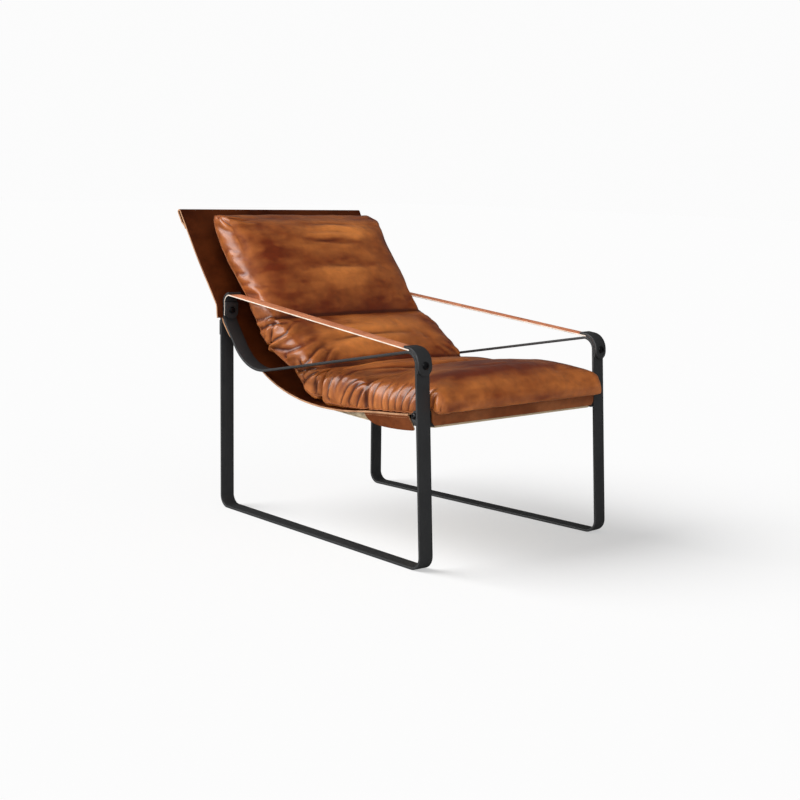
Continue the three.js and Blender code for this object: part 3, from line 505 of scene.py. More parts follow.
seatPull = sweepLeave + unit(sweepLeave - slotLow) * sling["pull"]
seatLine = bezier([sweepLeave, seatPull, seatRear - seatWay * sling["sag"], seatRear], 40)
backLine = roundedLine([
    (backTop, 0), (backMid, side["backBend"]), (slotTop, side["kneeBend"]), (slotLow, side["hitchBend"]),
    (sweepLeave, 0)], radians(2))
bedLine = backLine[:-1] + seatLine
hemStack = sling["thick"] + topRail["thick"] + 2 * gap
backOff = halfBar + slot / 2
backTopOff = hemStack + sling["thick"] / 2 + sling["hemRoom"] + skew / 2 + halfBar
backNormal = leftOf(backTop, backMid)
backPost = [backTop + backNormal * backTopOff, backMid + backNormal * (backOff + backTopOff) / 2]
knee = meet(rearLeg, [backPost[1], slotTop + leftOf(backMid, slotTop) * backOff])
barLine = roundedLine([
    (backPost[0], 0), (backPost[1], side["backBend"]), (knee, side["kneeBend"] + backOff),
    (meet(rearLeg, floorLine), side["floorBend"]), (meet(frontLeg, floorLine), side["floorBend"]),
    (armTop, side["armBend"]), (sweepLow, side["sweepBend"]), (hitch, side["hitchBend"]), (rearTop, side["rearBend"]),
    (tipEnd, 0)])
tipLost = next(i for i in range(len(barLine) - 1, 0, -1) if barLine[i][0] > barLine[-1][0] + 8)

# belt line of the arm strap
strapRearRadius, strapFrontRadius = side["rearBend"] - strapOff, side["armBend"] + strapOff
frontCentre = meet(beside(frontLeg, -side["armBend"]), beside([armTop, sweepLow], -side["armBend"]))
rearCentre = meet(beside(stripUp, side["rearBend"]), beside([rearTop, tipEnd], side["rearBend"]))
beltRun = frontCentre - rearCentre
beltAngle = atan2(beltRun[1], beltRun[0]) - acos((strapRearRadius - strapFrontRadius) / np.hypot(*beltRun))
beltUp = at(cos(beltAngle), sin(beltAngle))
strapRun = [rearCentre + beltUp * strapRearRadius, frontCentre + beltUp * strapFrontRadius]
strapFront, strapRear = beside(frontLeg, strapOff), beside(stripUp, strapOff)
frontBolt = meet(frontLeg, levelAt(side["frontBolt"]))
strapLine = roundedLine([
    (meet(strapRear, levelAt(side["bolt"] - strap["rearTail"])), 0), (meet(strapRear, strapRun), strapRearRadius),
    (meet(strapRun, strapFront), strapFrontRadius),
    (meet(strapFront, levelAt(frontBolt[1] - strap["frontTail"] / 2)), 0)])


# making and placing meshes
def newPiece(name, verts, faces, materials=(), marks=None, edges=()):
    mesh = bpy.data.meshes.new(name)
    mesh.from_pydata([tuple(v) for v in verts], list(edges), faces)
    for material in materials:
        mesh.materials.append(material)
    if marks is not None:
        mesh.polygons.foreach_set("material_index", marks)
    return linked(name, mesh)


def evaluated(piece):
    return piece.evaluated_get(bpy.context.evaluated_depsgraph_get())


def baked(piece):  # takes the modifiers into the mesh
    bpy.context.view_layer.update()
    mesh = bpy.data.meshes.new_from_object(evaluated(piece))
    piece.modifiers.clear()
    old, piece.data = piece.data, mesh
    mesh.name = piece.name
    if old.users == 0:
        bpy.data.meshes.remove(old)
    return piece


def setSpots(piece, spots):
    piece.data.vertices.foreach_set("co", np.ascontiguousarray(spots, np.float32).ravel())
    piece.data.update()


def readSpots(piece, key="co"):
    values = np.zeros(len(piece.data.vertices) * 3, np.float32)
    piece.data.vertices.foreach_get(key, values)
    return values.reshape(-1, 3).astype(float)


def smooth(piece, angle):
    piece.data.polygons.foreach_set("use_smooth", [True] * len(piece.data.polygons))
    piece.data.set_sharp_from_angle(angle=radians(angle))


def bevelled(piece, width, segments, limit):
    edge = piece.modifiers.new("edges", "BEVEL")
    edge.width, edge.segments, edge.limit_method, edge.angle_limit = width, segments, "ANGLE", radians(limit)
    return baked(piece)


def reworked(piece, change):
    work = bmesh.new()
    work.from_mesh(piece.data)
    change(work)
    work.to_mesh(piece.data)
    work.free()


def outward(work):
    bmesh.ops.remove_doubles(work, verts=work.verts, dist=1e-6)
    bmesh.ops.recalc_face_normals(work, faces=work.faces)


def placed(piece, *matrices):
    for matrix in matrices:
        piece.data.transform(matrix)
    if np.prod([matrix.determinant() for matrix in matrices]) < 0:
        piece.data.flip_normals()
    return piece


def finished(piece, angle, edge=None, matrices=(toMetres,)):  # edge is the width of its bevel and its segments
    placed(piece, *matrices)
    reworked(piece, outward)
    if edge:
        bevelled(piece, *edge, 50)
    smooth(piece, angle)


def bothSides(piece, name):  # the piece, and its mirror image on the sitter's right
    return (piece, "left"), (placed(linked(name, piece.data.copy()), mirror), "right")


def settle(piece, slotName, *nodes):
    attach(piece, "root")
    if nodes:
        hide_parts(*nodes)


# Geometry Nodes
def geometryTree(name, **sockets):
    tree = bpy.data.node_groups.new(name, "GeometryNodeTree")
    for label, kind in {"Geometry": "Geometry", **sockets, "Material": "Material"}.items():
        tree.interface.new_socket(label, in_out="INPUT", socket_type="NodeSocket" + kind)
    tree.interface.new_socket("Geometry", in_out="OUTPUT", socket_type="NodeSocketGeometry")
    return tree, add(tree, "NodeGroupInput").outputs


def closeTree(tree, geometry, material):
    real = add(tree, "GeometryNodeRealizeInstances", Geometry=geometry)
    finish = add(tree, "GeometryNodeSetMaterial", Geometry=real.outputs[0], Material=material)
    add(tree, "NodeGroupOutput", Geometry=finish.outputs[0])
    return tree


def makeBandTree():  # a flat band with rounded edges along a line of edges
    tree, given = geometryTree("flat band", Width="Float", Thickness="Float", Edge="Float")
    line = add(tree, "GeometryNodeMeshToCurve", Mesh=given["Geometry"])
    shape = add(tree, "GeometryNodeCurvePrimitiveQuadrilateral", Width=given["Width"], Height=given["Thickness"])
    soft = add(tree, "GeometryNodeFilletCurve")
    soft.mode = "POLY"
    wire(tree, soft, {"Curve": shape.outputs[0], "Radius": given["Edge"], "Count": 3})
    sweep = add(tree, "GeometryNodeCurveToMesh", Curve=line.outputs[0], Profile_Curve=soft.outputs[0], Fill_Caps=True)
    return closeTree(tree, sweep.outputs[0], given["Material"])


def makeStitchTree():  # one waxed stitch after another along a line of edges
    tree, given = geometryTree("stitch run", Pitch="Float", Stitch="Float", Thread="Float")
    line = add(tree, "GeometryNodeMeshToCurve", Mesh=given["Geometry"])
    points = add(tree, "GeometryNodeCurveToPoints")
    points.mode = "LENGTH"
    wire(tree, points, {"Curve": line.outputs[0], "Length": given["Pitch"]})
    bead = add(tree, "GeometryNodeMeshUVSphere", Segments=6, Rings=5, Radius=0.5)
    size = add(tree, "ShaderNodeCombineXYZ", X=given["Thread"], Y=given["Thread"], Z=given["Stitch"])
    each = add(tree, "GeometryNodeInstanceOnPoints", Points=points.outputs["Points"], Instance=bead.outputs["Mesh"],
               Rotation=points.outputs["Rotation"], Scale=size.outputs[0])
    smoothed = add(tree, "GeometryNodeSetShadeSmooth", Geometry=each.outputs[0])
    return closeTree(tree, smoothed.outputs[0], given["Material"])


bandTree, stitchTree = makeBandTree(), makeStitchTree()


def lineMesh(name, runs):  # open lines of edges, each given as its points
    edges, verts = [], []
    for run in runs:
        edges += [(len(verts) + i, len(verts) + i + 1) for i in range(len(run) - 1)]
        verts += run
    return newPiece(name, verts, [], edges=edges)


def grown(piece, tree, **values):
    nodes = piece.modifiers.new("nodes", "NODES")
    nodes.node_group = tree
    for socket in tree.interface.items_tree:
        if socket.in_out == "INPUT" and socket.name in values:
            nodes[socket.identifier] = values[socket.name]
    return baked(piece)


def barBand(name, line, thick, edge, material):  # as wide as the bent bar
    piece = lineMesh(name, [[(-side["bar"] / 2, y, z) for y, z in line]])
    return grown(piece, bandTree, Width=float(side["bar"]), Thickness=float(thick), Edge=edge, Material=material)


# steel: the bent bars are swept anew, the other parts are refined copies of their nodes
steel = {"edge": 0.8, "fine": 0.0006, "screwEdge": 0.0004, "merge": 2e-6, "flat": 0.6, "sharp": 35, "smooth": 32}


def makeBars():
    right = barBand("bent_bar_left", barLine[:tipLost + 1], side["steel"], steel["edge"], blackCoat)
    finished(right, 40, matrices=(rightSide, toMetres))
    for piece, hand in bothSides(right, "bent_bar_right"):
        settle(piece, "black_steel", f"side_frame_{hand}")


def cleaned(work):  # the node's triangles become whole flat faces
    bmesh.ops.remove_doubles(work, verts=work.verts, dist=steel["merge"])
    bmesh.ops.dissolve_limit(work, angle_limit=radians(steel["flat"]), verts=work.verts, edges=work.edges)


def refined(node, material, width, slotName):
    piece = linked("fine_" + node, bpy.data.objects[node].data.copy())
    reworked(piece, cleaned)
    piece.data.materials.clear()
    piece.data.materials.append(material)
    bevelled(piece, width, 2, steel["sharp"])
    smooth(piece, steel["smooth"])
    settle(piece, slotName, node)


makeBars()
for node in ("rear_crossbar", "front_rail", "top_rail"):
    refined(node, blackCoat, steel["fine"], "black_steel")
for hand in ("left", "right"):
    for node in ("front_clamp", "rear_clamp", "rail_bracket"):
        refined(f"{node}_{hand}", blackCoat, steel["fine"], "black_steel")
    for node in ("front_bolt", "rear_bolt", "front_nut", "rear_nut", "bracket_bolt", "bracket_nut", "top_screw"):
        refined(f"{node}_{hand}", blackScrew, steel["screwEdge"], "black_screws")
print("steel made")


# hung leather: a closed sheet over a line, each row as wide as its place asks
def thickRibbon(name, line, thick, halfWidth, columns, materials):
    last, wide = len(line) - 1, columns + 1
    under = (last + 1) * wide
    verts, faces = [], []
    for sign in (1, -1):
        for i, spot in enumerate(line):
            y, z = spot + leftOf(line[max(i - 1, 0)], line[min(i + 1, last)]) * sign * thick / 2
            verts += [(share * halfWidth(i), y, z) for share in np.linspace(-1, 1, wide)]
    for i in range(last):
        for a in range(i * wide, i * wide + columns):
            face = a, a + 1, a + 1 + wide, a + wide
            faces += [face, tuple(under + k for k in (face[0], face[3], face[2], face[1]))]
    rim = list(range(columns)) + [i * wide + columns for i in range(last)]
    rim += [last * wide + j for j in range(columns, 0, -1)] + [i * wide for i in range(last, 0, -1)]
    marks = [0] * len(faces) + [1] * len(rim)
    faces += [(b, a, under + a, under + b) for a, b in zip(rim, rim[1:] + rim[:1])]
    return newPiece(name, verts, faces, materials, marks)


def withSteps(line, levels, key=1):  # adds two close rows where the width changes at once
    rows = [line[0]]
    for start, end in zip(line, line[1:]):
        low, high = sorted((start[key], end[key]))
        for share in sorted((level - start[key]) / (end[key] - start[key]) for level in levels if low < level < high):
            spot, step = start + (end - start) * share, unit(end - start) * 0.25
            rows += [spot - step, spot + step]
        rows.append(end)
    return rows


def eased(share):  # goes from 0 to 1 with a soft start and end
    share = np.clip(share, 0, 1)
    return share * share * (3 - 2 * share)


flap = {
    "rear": -146, "front": -303, "lean": 25, "drop": 40, "frontDrop": 31, "fullness": 0.76, "round": 30,
    "corner": 7, "under": 0.2, "stitchInset": 4.5, "stitchLift": 0.15, "stitchFront": 5, "stitchRear": 6,
    "edge": (0.001, 3), "flat": (0.17, 0.048), "area": 0.00626,
}
stitch = {"Pitch": 0.0058, "Stitch": 0.0046, "Thread": 0.0009}
notch = {"top": side["bolt"] - sling["notchTop"], "low": side["bolt"] - sling["notchBottom"]}
notch["end"] = notch["low"] - sling["notchRound"]
splitY = meet([slotLow, sweepLeave], levelAt(notch["end"]))[0] + sling["thick"]
lowFront = seatFront[1] - sling["frontDrop"]


def innerX(y):
    return outerX(y) - side["bar"]


def slingHalf(spot, onFront):  # half the sling's width, from its top edge to its front
    y, z = spot
    if y > sling["backFrom"] and z > notch["top"]:
        share = min(1, (z - notch["top"]) / (side["backHeight"] - notch["top"]))
        return sling["boltHalf"] + (sling["topHalf"] - sling["boltHalf"]) * share
    if y > sling["backFrom"] and z > notch["end"]:
        flush = outerX(rearLeg[0][0])
        inner = flush - side["bar"] - sling["seatInset"]
        share = max(0, min(1, (z - notch["end"]) / (notch["low"] + sling["notchEase"] - notch["end"])))
        return inner + (flush - inner) * (1 - (1 - share) ** 2) ** 0.5
    if y > flap["rear"]:
        share = (splitY - y) / (splitY - flap["rear"])
        return innerX(y) - sling["seatInset"] * (1 - share) + sling["flapOutset"] * share
    if y > flap["front"]:
        return innerX(y) + sling["flapOutset"]
    cut = sling["cornerCut"] - max(0, z - lowFront) if onFront and z < lowFront + sling["cornerCut"] else 0
    return innerX(y) - sling["cornerInset"] - cut


def edgeSag(x, y):  # how far the sling's side edge sags where its flap pulls it down
    inward = np.clip((np.abs(x) - (innerX(y) - sling["sagWidth"])) / sling["sagWidth"], 0, 1)
    rear = eased((sling["sagRear"] - y) / (sling["sagRear"] - sling["sagLow"]))
    return sling["edgeSag"] * inward ** 2 * rear * eased((y - sling["sagFront"]) / sling["sagRun"])


def makeSling():
    frontY, pitch = sling["frontY"], sling["pitch"]
    front = roundedLine([(seatRear, 0), (seatFront, sling["frontRound"]), (at(frontY, lowFront), 0)], radians(9))
    run = respaced(bedLine, pitch)[:-1] + respaced([seatRear, front[1]], pitch)[:-1]
    run += front[1:-1] + respaced(front[-2:], sling["frontPitch"])
    back, hemTurn = [backTop, backMid], beside([backTop, backMid], hemStack)
    onBack = backNormal * (sling["thick"] + sling["hemGap"])
    lap, turn = sling["hemDepth"], hemStack / 2 - gap
    fold = roundedLine([
        (towards(*back, lap + sling["hemLap"]) + onBack, 0), (towards(*back, lap) + onBack, sling["hemRise"]),
        (towards(*hemTurn, topRail["below"] + topRail["height"] / 2 + 2), sling["hemRound"]),
        (hemTurn[0], turn), (backTop, turn), (backMid, 0)], radians(10))[:-1]
    run = withSteps(withSteps(fold + run[1:], [notch["top"], notch["end"] + 0.3]), [flap["front"]], 0)
    frontStart = next(i for i, spot in enumerate(run) if spot[0] < frontY + 1 and i > len(fold) + 20)
    piece = thickRibbon("hung_sling", run, sling["thick"], lambda i: slingHalf(run[i], i >= frontStart),
                        sling["columns"], [shadedSaddleHide, tanEdge, litBandHide])
    for face in piece.data.polygons:
        # the rolled front band takes the lighter band hide, painted light
        if face.center.y < frontY + sling["bandBehind"] and face.center.z < sling["seatBelow"]:
            face.material_index = 2
    spots = readSpots(piece)
    spots[:, 2] -= np.where(spots[:, 2] < sling["seatBelow"], edgeSag(spots[:, 0], spots[:, 1]), 0)
    setSpots(piece, spots)
    finished(piece, 40, sling["edge"])
    settle(piece, "saddle_leather", "sling")


def flapTop(y):  # the sling's lower face along its side edge
    seat = seatRear[1] + (seatRear[0] - y) * sling["rise"] - sling["thick"] / 2 - flap["under"]
    return at(y, seat - edgeSag(innerX(y), y))


def makeFlaps():
    rear, front, bend = flapTop(flap["rear"]), flapTop(flap["front"]), flap["round"]
    foot = at(flap["front"] - flap["lean"], front[1] - flap["frontDrop"])
    low = (rear[1] + front[1]) / 2 - flap["drop"] * flap["fullness"]
    middle = at(rear[0] - 2 * bend, low)
    outline = bezier([rear, at(rear[0] - bend / 2, low + 1), middle], 9)[:-1]
    outline += bezier([middle, at((rear[0] + foot[0]) / 2 - bend, low - 1), foot], 9)
    corner = towards(foot, front, flap["corner"]), towards(foot, outline[-2], flap["corner"])
    outline = outline[:-1] + [corner[1], foot + (corner[0] + corner[1] - 2 * foot) * 0.3, corner[0], front]
    outer, count = sling["flapOutset"] - side["bar"], len(outline)
    verts = [(x, y, z) for x in (outer, outer - sling["thick"]) for y, z in outline]
    faces = [tuple(range(count)), tuple(range(2 * count - 1, count - 1, -1))]
    faces += [(i, i + count, (i + 1) % count + count, (i + 1) % count) for i in range(count)]
    right = newPiece("side_flap_left", verts, faces, [flapHide, tanEdge], [0, 0] + [1] * count)
    finished(right, 45, flap["edge"], (rightSide, toMetres))
    for piece, _ in bothSides(right, "side_flap_right"):
        settle(piece, "saddle_leather")
    places = np.linspace(flap["front"] + flap["stitchFront"], flap["rear"] - flap["stitchRear"], 60)
    outer += flap["stitchLift"]
    line = [rightSide @ Vector((outer, y, flapTop(y)[1] - flap["stitchInset"])) for y in places]
    runs = [[toMetres @ Vector((hand * p.x, p.y, p.z)) for p in line] for hand in (1, -1)]
    settle(grown(lineMesh("flap_stitches", runs), stitchTree, Material=thread, **stitch), "saddle_leather")


underlay = {
    "thick": 2.5, "inset": 50, "rear": 38, "join": -20, "level": (-155, 302), "frontRise": 26, "wallRear": 30,
    "wall": 2, "frontInset": 18, "pitch": 8, "columns": 36, "flatWidth": 0.5, "edge": (0.0006, 1),
}
rail = {"height": 38, "thick": 6, "bend": 13}


def makeUnderlay():
    thick, frontY = underlay["thick"], sling["frontY"]
    off = sling["thick"] / 2 + gap + thick / 2
    under = [p for p in offsetLine(seatLine, off) if underlay["join"] < p[0] < underlay["rear"]]
    railY = frontY + sling["thick"] / 2 + gap * 2 + thick + rail["thick"] / 2
    railTop = seatFront[1] - sling["thick"] / 2 - 2 * gap - (railY + rail["thick"] / 2 - frontY) * sling["rise"]
    low = railTop - rail["height"] - gap - thick / 2
    line = under + roundedLine([
        (under[-1], 0), (at(*underlay["level"]), side["backBend"]),
        (at(railY + rail["thick"], low), side["floorBend"]), (at(frontY + off, low), thick / 2 + gap),
        (at(frontY + off, low + underlay["frontRise"]), 0)], radians(6))[1:]
    line = respaced(line[:-6], underlay["pitch"])[:-1] + line[-6:]

    def wide(i):
        y, start = line[i][0], outerX(flap["front"]) - underlay["inset"]
        if y > flap["front"]:
            return outerX(y) - underlay["inset"]
        share = min(1, (flap["front"] - y) / (flap["front"] - railY - rail["bend"]))
        return start + (innerX(frontY) - underlay["frontInset"] - start) * share

    piece = thickRibbon("webbing_underlay", line, thick, wide, underlay["columns"], [webbing, webbing])
    face = np.array(sorted((p for p in offsetLine(bedLine, sling["thick"] / 2 + gap) if p[0] < 300), key=tuple))
    inside = [i for i, (y, _) in enumerate(line) if flap["front"] < y < underlay["wallRear"]]
    verts, faces = [], []
    for hand in (1, -1):  # a low wall at each side closes the space up to the sling
        first = len(verts)
        for i in inside:
            (y, z), x = line[i], wide(i) - thick / 2
            top = max(z, np.interp(y, face[:, 0], face[:, 1]) - edgeSag(x, y))
            verts += [(hand * wall, y, height) for wall, height in
                      ((x, z), (x, top), (x - underlay["wall"], top), (x - underlay["wall"], z))]
        for a in range(first, len(verts) - 4, 4):
            faces += [(a + m, a + (m + 1) % 4, a + 4 + (m + 1) % 4, a + 4 + m) for m in range(4)]
        faces += [tuple(range(first, first + 4)), tuple(range(len(verts) - 1, len(verts) - 5, -1))]
    walls = placed(newPiece("underlay_walls", verts, faces, [webbing]), toMetres)
    reworked(walls, outward)
    settle(walls, "pale_lining")
    finished(piece, 40, underlay["edge"])
    settle(piece, "pale_lining", "sling_underlay")


def makeStraps():
    right = barBand("strap_left", strapLine, strap["thick"], strap["edge"], strapHideAndSheen)
    for material in (paleEdge, blackCoat):
        right.data.materials.append(material)
    frontEnd = min(spot[0] for spot in strapLine)
    for face in right.data.polygons:
        onEdge, y = abs(face.normal.x) > 0.6, face.center.y
        atFront = y < frontEnd + strap["darkFront"] and (onEdge or face.center.z < frontBolt[1])
        inRear = y > strap["darkRear"] and (face.normal.y < -0.3 or face.normal.z < -0.5)
        face.material_index = 2 if atFront or inRear else int(onEdge)
    placed(right, rightSide, toMetres)
    smooth(right, 40)
    for piece, hand in bothSides(right, "strap_right"):
        settle(piece, "saddle_leather", f"arm_strap_{hand}")


makeSling()
makeFlaps()
makeUnderlay()
makeStraps()
print("leather sheets made")


# the cushion: one loose pad sewn in five sections; its seams run from side to side
cushion = {
    "across": 78, "deep": 11, "frontRound": 30, "rearRound": 8, "roundFrom": 0.1, "roundOver": 0.6,
    "swellPower": 2.6, "sectionPower": 3.0, "crease": 17, "shoulder": 30, "sideShoulder": 21, "sidePinch": 11,
    "clearance": 0.8, "room": 1.2, "aside": 12, "asideFrom": 560, "asideRun": 240, "middles": (0, -8, -34, 0),
    "ends": (-68, -24, 0, 0), "bowFrom": 240, "bowRun": 105, "bowPower": 1.3, "seamHeld": 5, "lowerHeld": 0.9,
    # the seam line's width and its reach round the pad set the painted shade along each seam
    "cap": 9, "frames": 15, "evening": 7, "easing": 4, "groove": 2.5, "grooveHalf": 5, "seamLine": 4,
    "seamReach": 350, "crestFine": 260, "crestBroad": 90, "rubbed": 0.08, "piping": 0.0026, "pipingOut": 0.0006,
}
# per section: its rear and front edge lines seen from the side, half widths at both its seams, swells, rows
padSections = [
    {"rear": [(482, 757), (489, 738), (447, 662), (401, 611), (359, 565), (334, 528), (293, 468), (268, 441)],
     "front": [(430, 760), (370, 681), (309, 605), (268, 556), (226, 512)],
     "halves": (267, 272, 259, 263), "swell": (40, 20), "rows": 50},
    {"rear": [(268, 441), (220, 413), (175, 393), (138, 379)],
     "front": [(226, 512), (205, 498), (159, 471), (107, 433), (49, 400)],
     "halves": (259, 263, 259, 264), "swell": (44, 20), "rows": 31},
    {"rear": [(138, 379), (113, 350), (70, 328), (44, 320)],
     "front": [(49, 400), (44, 397), (39, 394)],
     "halves": (264, 268, 262, 266), "swell": (22, 4), "rows": 10},
    {"rear": [(44, 320), (20, 316), (-10, 313), (-45, 311), (-142, 319)],
     "front": [(39, 394), (-7, 398), (-60, 402), (-142, 399)],
     "halves": (258, 261, 267, 269), "swell": (6, 13), "rows": 24},
    {"rear": [(-142, 319), (-220, 331), (-320, 346), (-374, 356), (-386, 352), (-404, 350)],
     "front": [(-142, 399), (-200, 405), (-270, 410), (-340, 411), (-388, 409), (-412, 403)],
     "halves": (267, 269, 280, 284), "swell": (4, 17), "rows": 46},
]


def softened(line, rounds):  # each point moves halfway to the middle of its neighbours; the ends stay
    line = np.array(line, float)
    for _ in range(rounds):
        line[1:-1] = line[1:-1] * 0.5 + (line[:-2] + line[2:]) * 0.25
    return line


def spreadAlong(line, shares):
    line = np.array(line, float)
    reach = lengthsOf(line)
    return np.stack([np.interp(shares * reach[-1], reach, line[:, k]) for k in (0, 1)], axis=1)


def padRows():  # the pad's skeleton, one entry per row of its grid
    parts = []
    for number, part in enumerate(padSections):
        shares = np.linspace(0, 1, part["rows"] + 1)[min(number, 1):]
        way = unit(sum(np.array(part[key][-1], float) - part[key][0] for key in ("rear", "front")))
        bulge = 1 - np.abs(2 * shares - 1) ** cushion["sectionPower"]
        a, b, c, d = part["halves"]
        parts.append({
            "rear": spreadAlong(part["rear"], shares), "front": spreadAlong(part["front"], shares),
            "halfRear": a + (c - a) * shares, "halfFront": b + (d - b) * shares,
            "swellRear": part["swell"][0] * bulge, "swellFront": part["swell"][1] * bulge,
            "out": np.tile((way[1], -way[0]), (len(shares), 1))})
    rows = {key: np.concatenate([part[key] for part in parts]) for key in parts[0]}
    for key, rounds in (("rear", 3), ("front", 3), ("out", 8), ("swellRear", 3), ("swellFront", 3)):
        rows[key] = softened(rows[key], rounds)
    rows["length"] = (lengthsOf(rows["rear"]) + lengthsOf(rows["front"])) / 2
    rows["depth"] = np.hypot(*(rows["front"] - rows["rear"]).T)
    return rows


def gridOfBox(a, b, c):  # the shell of a box with so many cells each way
    index, verts, faces = {}, [], []
    for spot in np.ndindex(a + 1, b + 1, c + 1):
        if spot[0] in (0, a) or spot[1] in (0, b) or spot[2] in (0, c):
            index[spot] = len(verts)
            verts.append(spot)

    def quad(*corners):
        faces.append(tuple(index[corner] for corner in corners))

    for i in range(a):
        for j in range(b):
            quad((i, j, 0), (i, j + 1, 0), (i + 1, j + 1, 0), (i + 1, j, 0))
            quad((i, j, c), (i + 1, j, c), (i + 1, j + 1, c), (i, j + 1, c))
        for k in range(c):
            quad((i, 0, k), (i + 1, 0, k), (i + 1, 0, k + 1), (i, 0, k + 1))
            quad((i, b, k), (i, b, k + 1), (i + 1, b, k + 1), (i + 1, b, k))
    for j in range(b):
        for k in range(c):
            quad((0, j, k), (0, j, k + 1), (0, j + 1, k + 1), (0, j + 1, k))
            quad((a, j, k), (a, j + 1, k), (a, j + 1, k + 1), (a, j, k + 1))
    return np.array(verts), faces


def unrolled(grid, box, rows):  # each point's place on the flat cover: along the pad, and round it from its middle
    i, c, count = grid[:, 0], grid[:, 2] / cushion["deep"], grid[:, 0].max()
    deep, across = rows["depth"][i], np.abs(box[:, 1])
    half = rows["halfRear"][i] * (1 - c) + rows["halfFront"][i] * c
    onSide = (grid[:, 1] == 0) | (grid[:, 1] == cushion["across"])
    around = np.where(onSide, half + deep * (1 - c), across)
    around = np.where((c == 0) & ~onSide, half + deep + half - across, around)
    onCap = ~onSide & (c > 0) & (c < 1)
    along = box[:, 0] + np.where(onCap, deep * (1 - c), 0) * ((i == count) * 1 - (i == 0))
    return along, around * np.sign(box[:, 1] + 1e-9)


def roundedBox(box, wide, deep, total, c):  # its edges rounded, more towards the sitter than on the sling
    lower, share = cushion["rearRound"], (c - cushion["roundFrom"]) / cushion["roundOver"]
    radius = np.minimum(lower + (cushion["frontRound"] - lower) * eased(share), deep * 0.75)
    core = np.stack([
        np.clip(box[:, 0], radius, total - radius), np.clip(box[:, 1], radius - wide, wide - radius),
        np.clip(box[:, 2], lower * 0.999, deep - radius)], axis=1)
    rim = box - core
    size = np.maximum(np.linalg.norm(rim, axis=1), 1e-6)
    isLow = (box[:, 2] < lower) & (np.abs(rim[:, 2]) > 1e-6) & (share <= 0)
    return core + rim * np.minimum(np.where(isLow, lower, radius) / size, 1)[:, None]


def seamDistance(rows, along, around):  # from each point to the nearest seam, which bows towards its ends
    seams = rows["length"][np.cumsum([part["rows"] for part in padSections])[:-1]]
    sideways = np.clip((np.abs(around) - cushion["bowFrom"]) / cushion["bowRun"], 0, 1)[:, None]
    sideways = sideways ** cushion["bowPower"]
    bow = np.array(cushion["middles"]) * (1 - sideways) + np.array(cushion["ends"]) * sideways
    return np.min(np.abs(along[:, None] - seams - bow), axis=1)


def valley(near, width):  # round shoulders: 1 on the seam, 0 from this width on
    return 1 - np.sqrt(1 - (1 - np.clip(near / width, 0, 1)) ** 2)


def padShape(rows):
    count = len(rows["length"]) - 1
    grid, faces = gridOfBox(count, cushion["across"], cushion["deep"])
    i, share, c = grid[:, 0], grid[:, 1] / cushion["across"] * 2 - 1, grid[:, 2] / cushion["deep"]
    wide, deep = rows["halfRear"][i] * (1 - c) + rows["halfFront"][i] * c, rows["depth"][i]
    box = np.stack([rows["length"][i], share * wide, c * deep], axis=1)
    box = roundedBox(box, wide, deep, rows["length"][-1], c)
    row = np.interp(box[:, 0], rows["length"], np.arange(count + 1))

    def read(key):  # the skeleton's value at each point, as columns
        values = rows[key].reshape(count + 1, -1)
        return np.stack([np.interp(row, np.arange(count + 1), column) for column in values.T], axis=1)

    x, c = box[:, 1], np.clip(box[:, 2] / read("depth")[:, 0], 0, 1)
    half = read("halfRear")[:, 0] * (1 - c) + read("halfFront")[:, 0] * c
    bulge = 1 - np.abs(np.clip(x / half, -1, 1))[:, None] ** cushion["swellPower"]
    out = read("out")
    out /= np.linalg.norm(out, axis=1)[:, None]
    rear = read("rear") - out * read("swellRear") * bulge
    front = read("front") + out * read("swellFront") * bulge
    spot = rear + (front - rear) * c[:, None]
    along, around = unrolled(grid, box, rows)
    near = seamDistance(rows, along, around)
    spot[:, 1] -= edgeSag(x, spot[:, 0]) * (1 - c)
    spot -= out * (valley(near, cushion["shoulder"]) * cushion["crease"] * c ** 2)[:, None]
    atSide = np.clip((np.abs(x) - half + cushion["frontRound"]) / cushion["frontRound"], 0, 1)
    x = x - np.sign(x) * valley(near, cushion["sideShoulder"]) * atSide * cushion["sidePinch"]
    x = x + cushion["aside"] * (1 - eased((box[:, 0] - cushion["asideFrom"]) / cushion["asideRun"]))
    return grid, faces, np.column_stack([x, spot]), along, around, near


def slingFace(y):  # height of the sling's upper face below the pad
    ahead = seatFront + (seatFront - seatRear) + at(0, 2)
    face = [p for p in offsetLine(bedLine, -sling["thick"] / 2) if p[0] < 330] + [ahead]
    face = np.array(sorted(face, key=tuple))
    return np.interp(y, face[:, 0], face[:, 1])


# what the pad keeps clear of: the arm's bar and its strap, each as a height and a slope, and the room they ask for
clear = {
    "lines": ((421, -0.1957), (530, 0.083)), "from": 18, "slope": 1.6, "most": 22, "headFrom": 560, "headSlope": 2,
    "headMost": 40, "legY": -330, "tipY": -392, "tipHalf": 290, "slingTo": 120,
}


def keepClear(spots):  # the pad stays over the sling and between the bars
    y, z = spots[:, 1], spots[:, 2]
    overSling = (y < clear["slingTo"]) & (y > sling["frontY"] - 3) & (z < sling["seatBelow"])
    low = slingFace(y) - edgeSag(spots[:, 0], y) + cushion["clearance"]
    spots[:, 2] = np.where(overSling, np.maximum(z, low), z)
    offBar = np.min([np.abs(z - height - slope * y) for height, slope in clear["lines"]], axis=0)
    extra = np.clip((offBar - clear["from"]) / clear["slope"], 0, clear["most"])
    room = innerX(y) - cushion["room"] + np.where(y > clear["legY"], extra, 0)
    room = np.where(y < clear["tipY"], clear["tipHalf"], room)
    room += np.clip((z - clear["headFrom"]) / clear["headSlope"], 0, clear["headMost"])
    spots[:, 0] = np.clip(spots[:, 0], -room, room)
    return spots


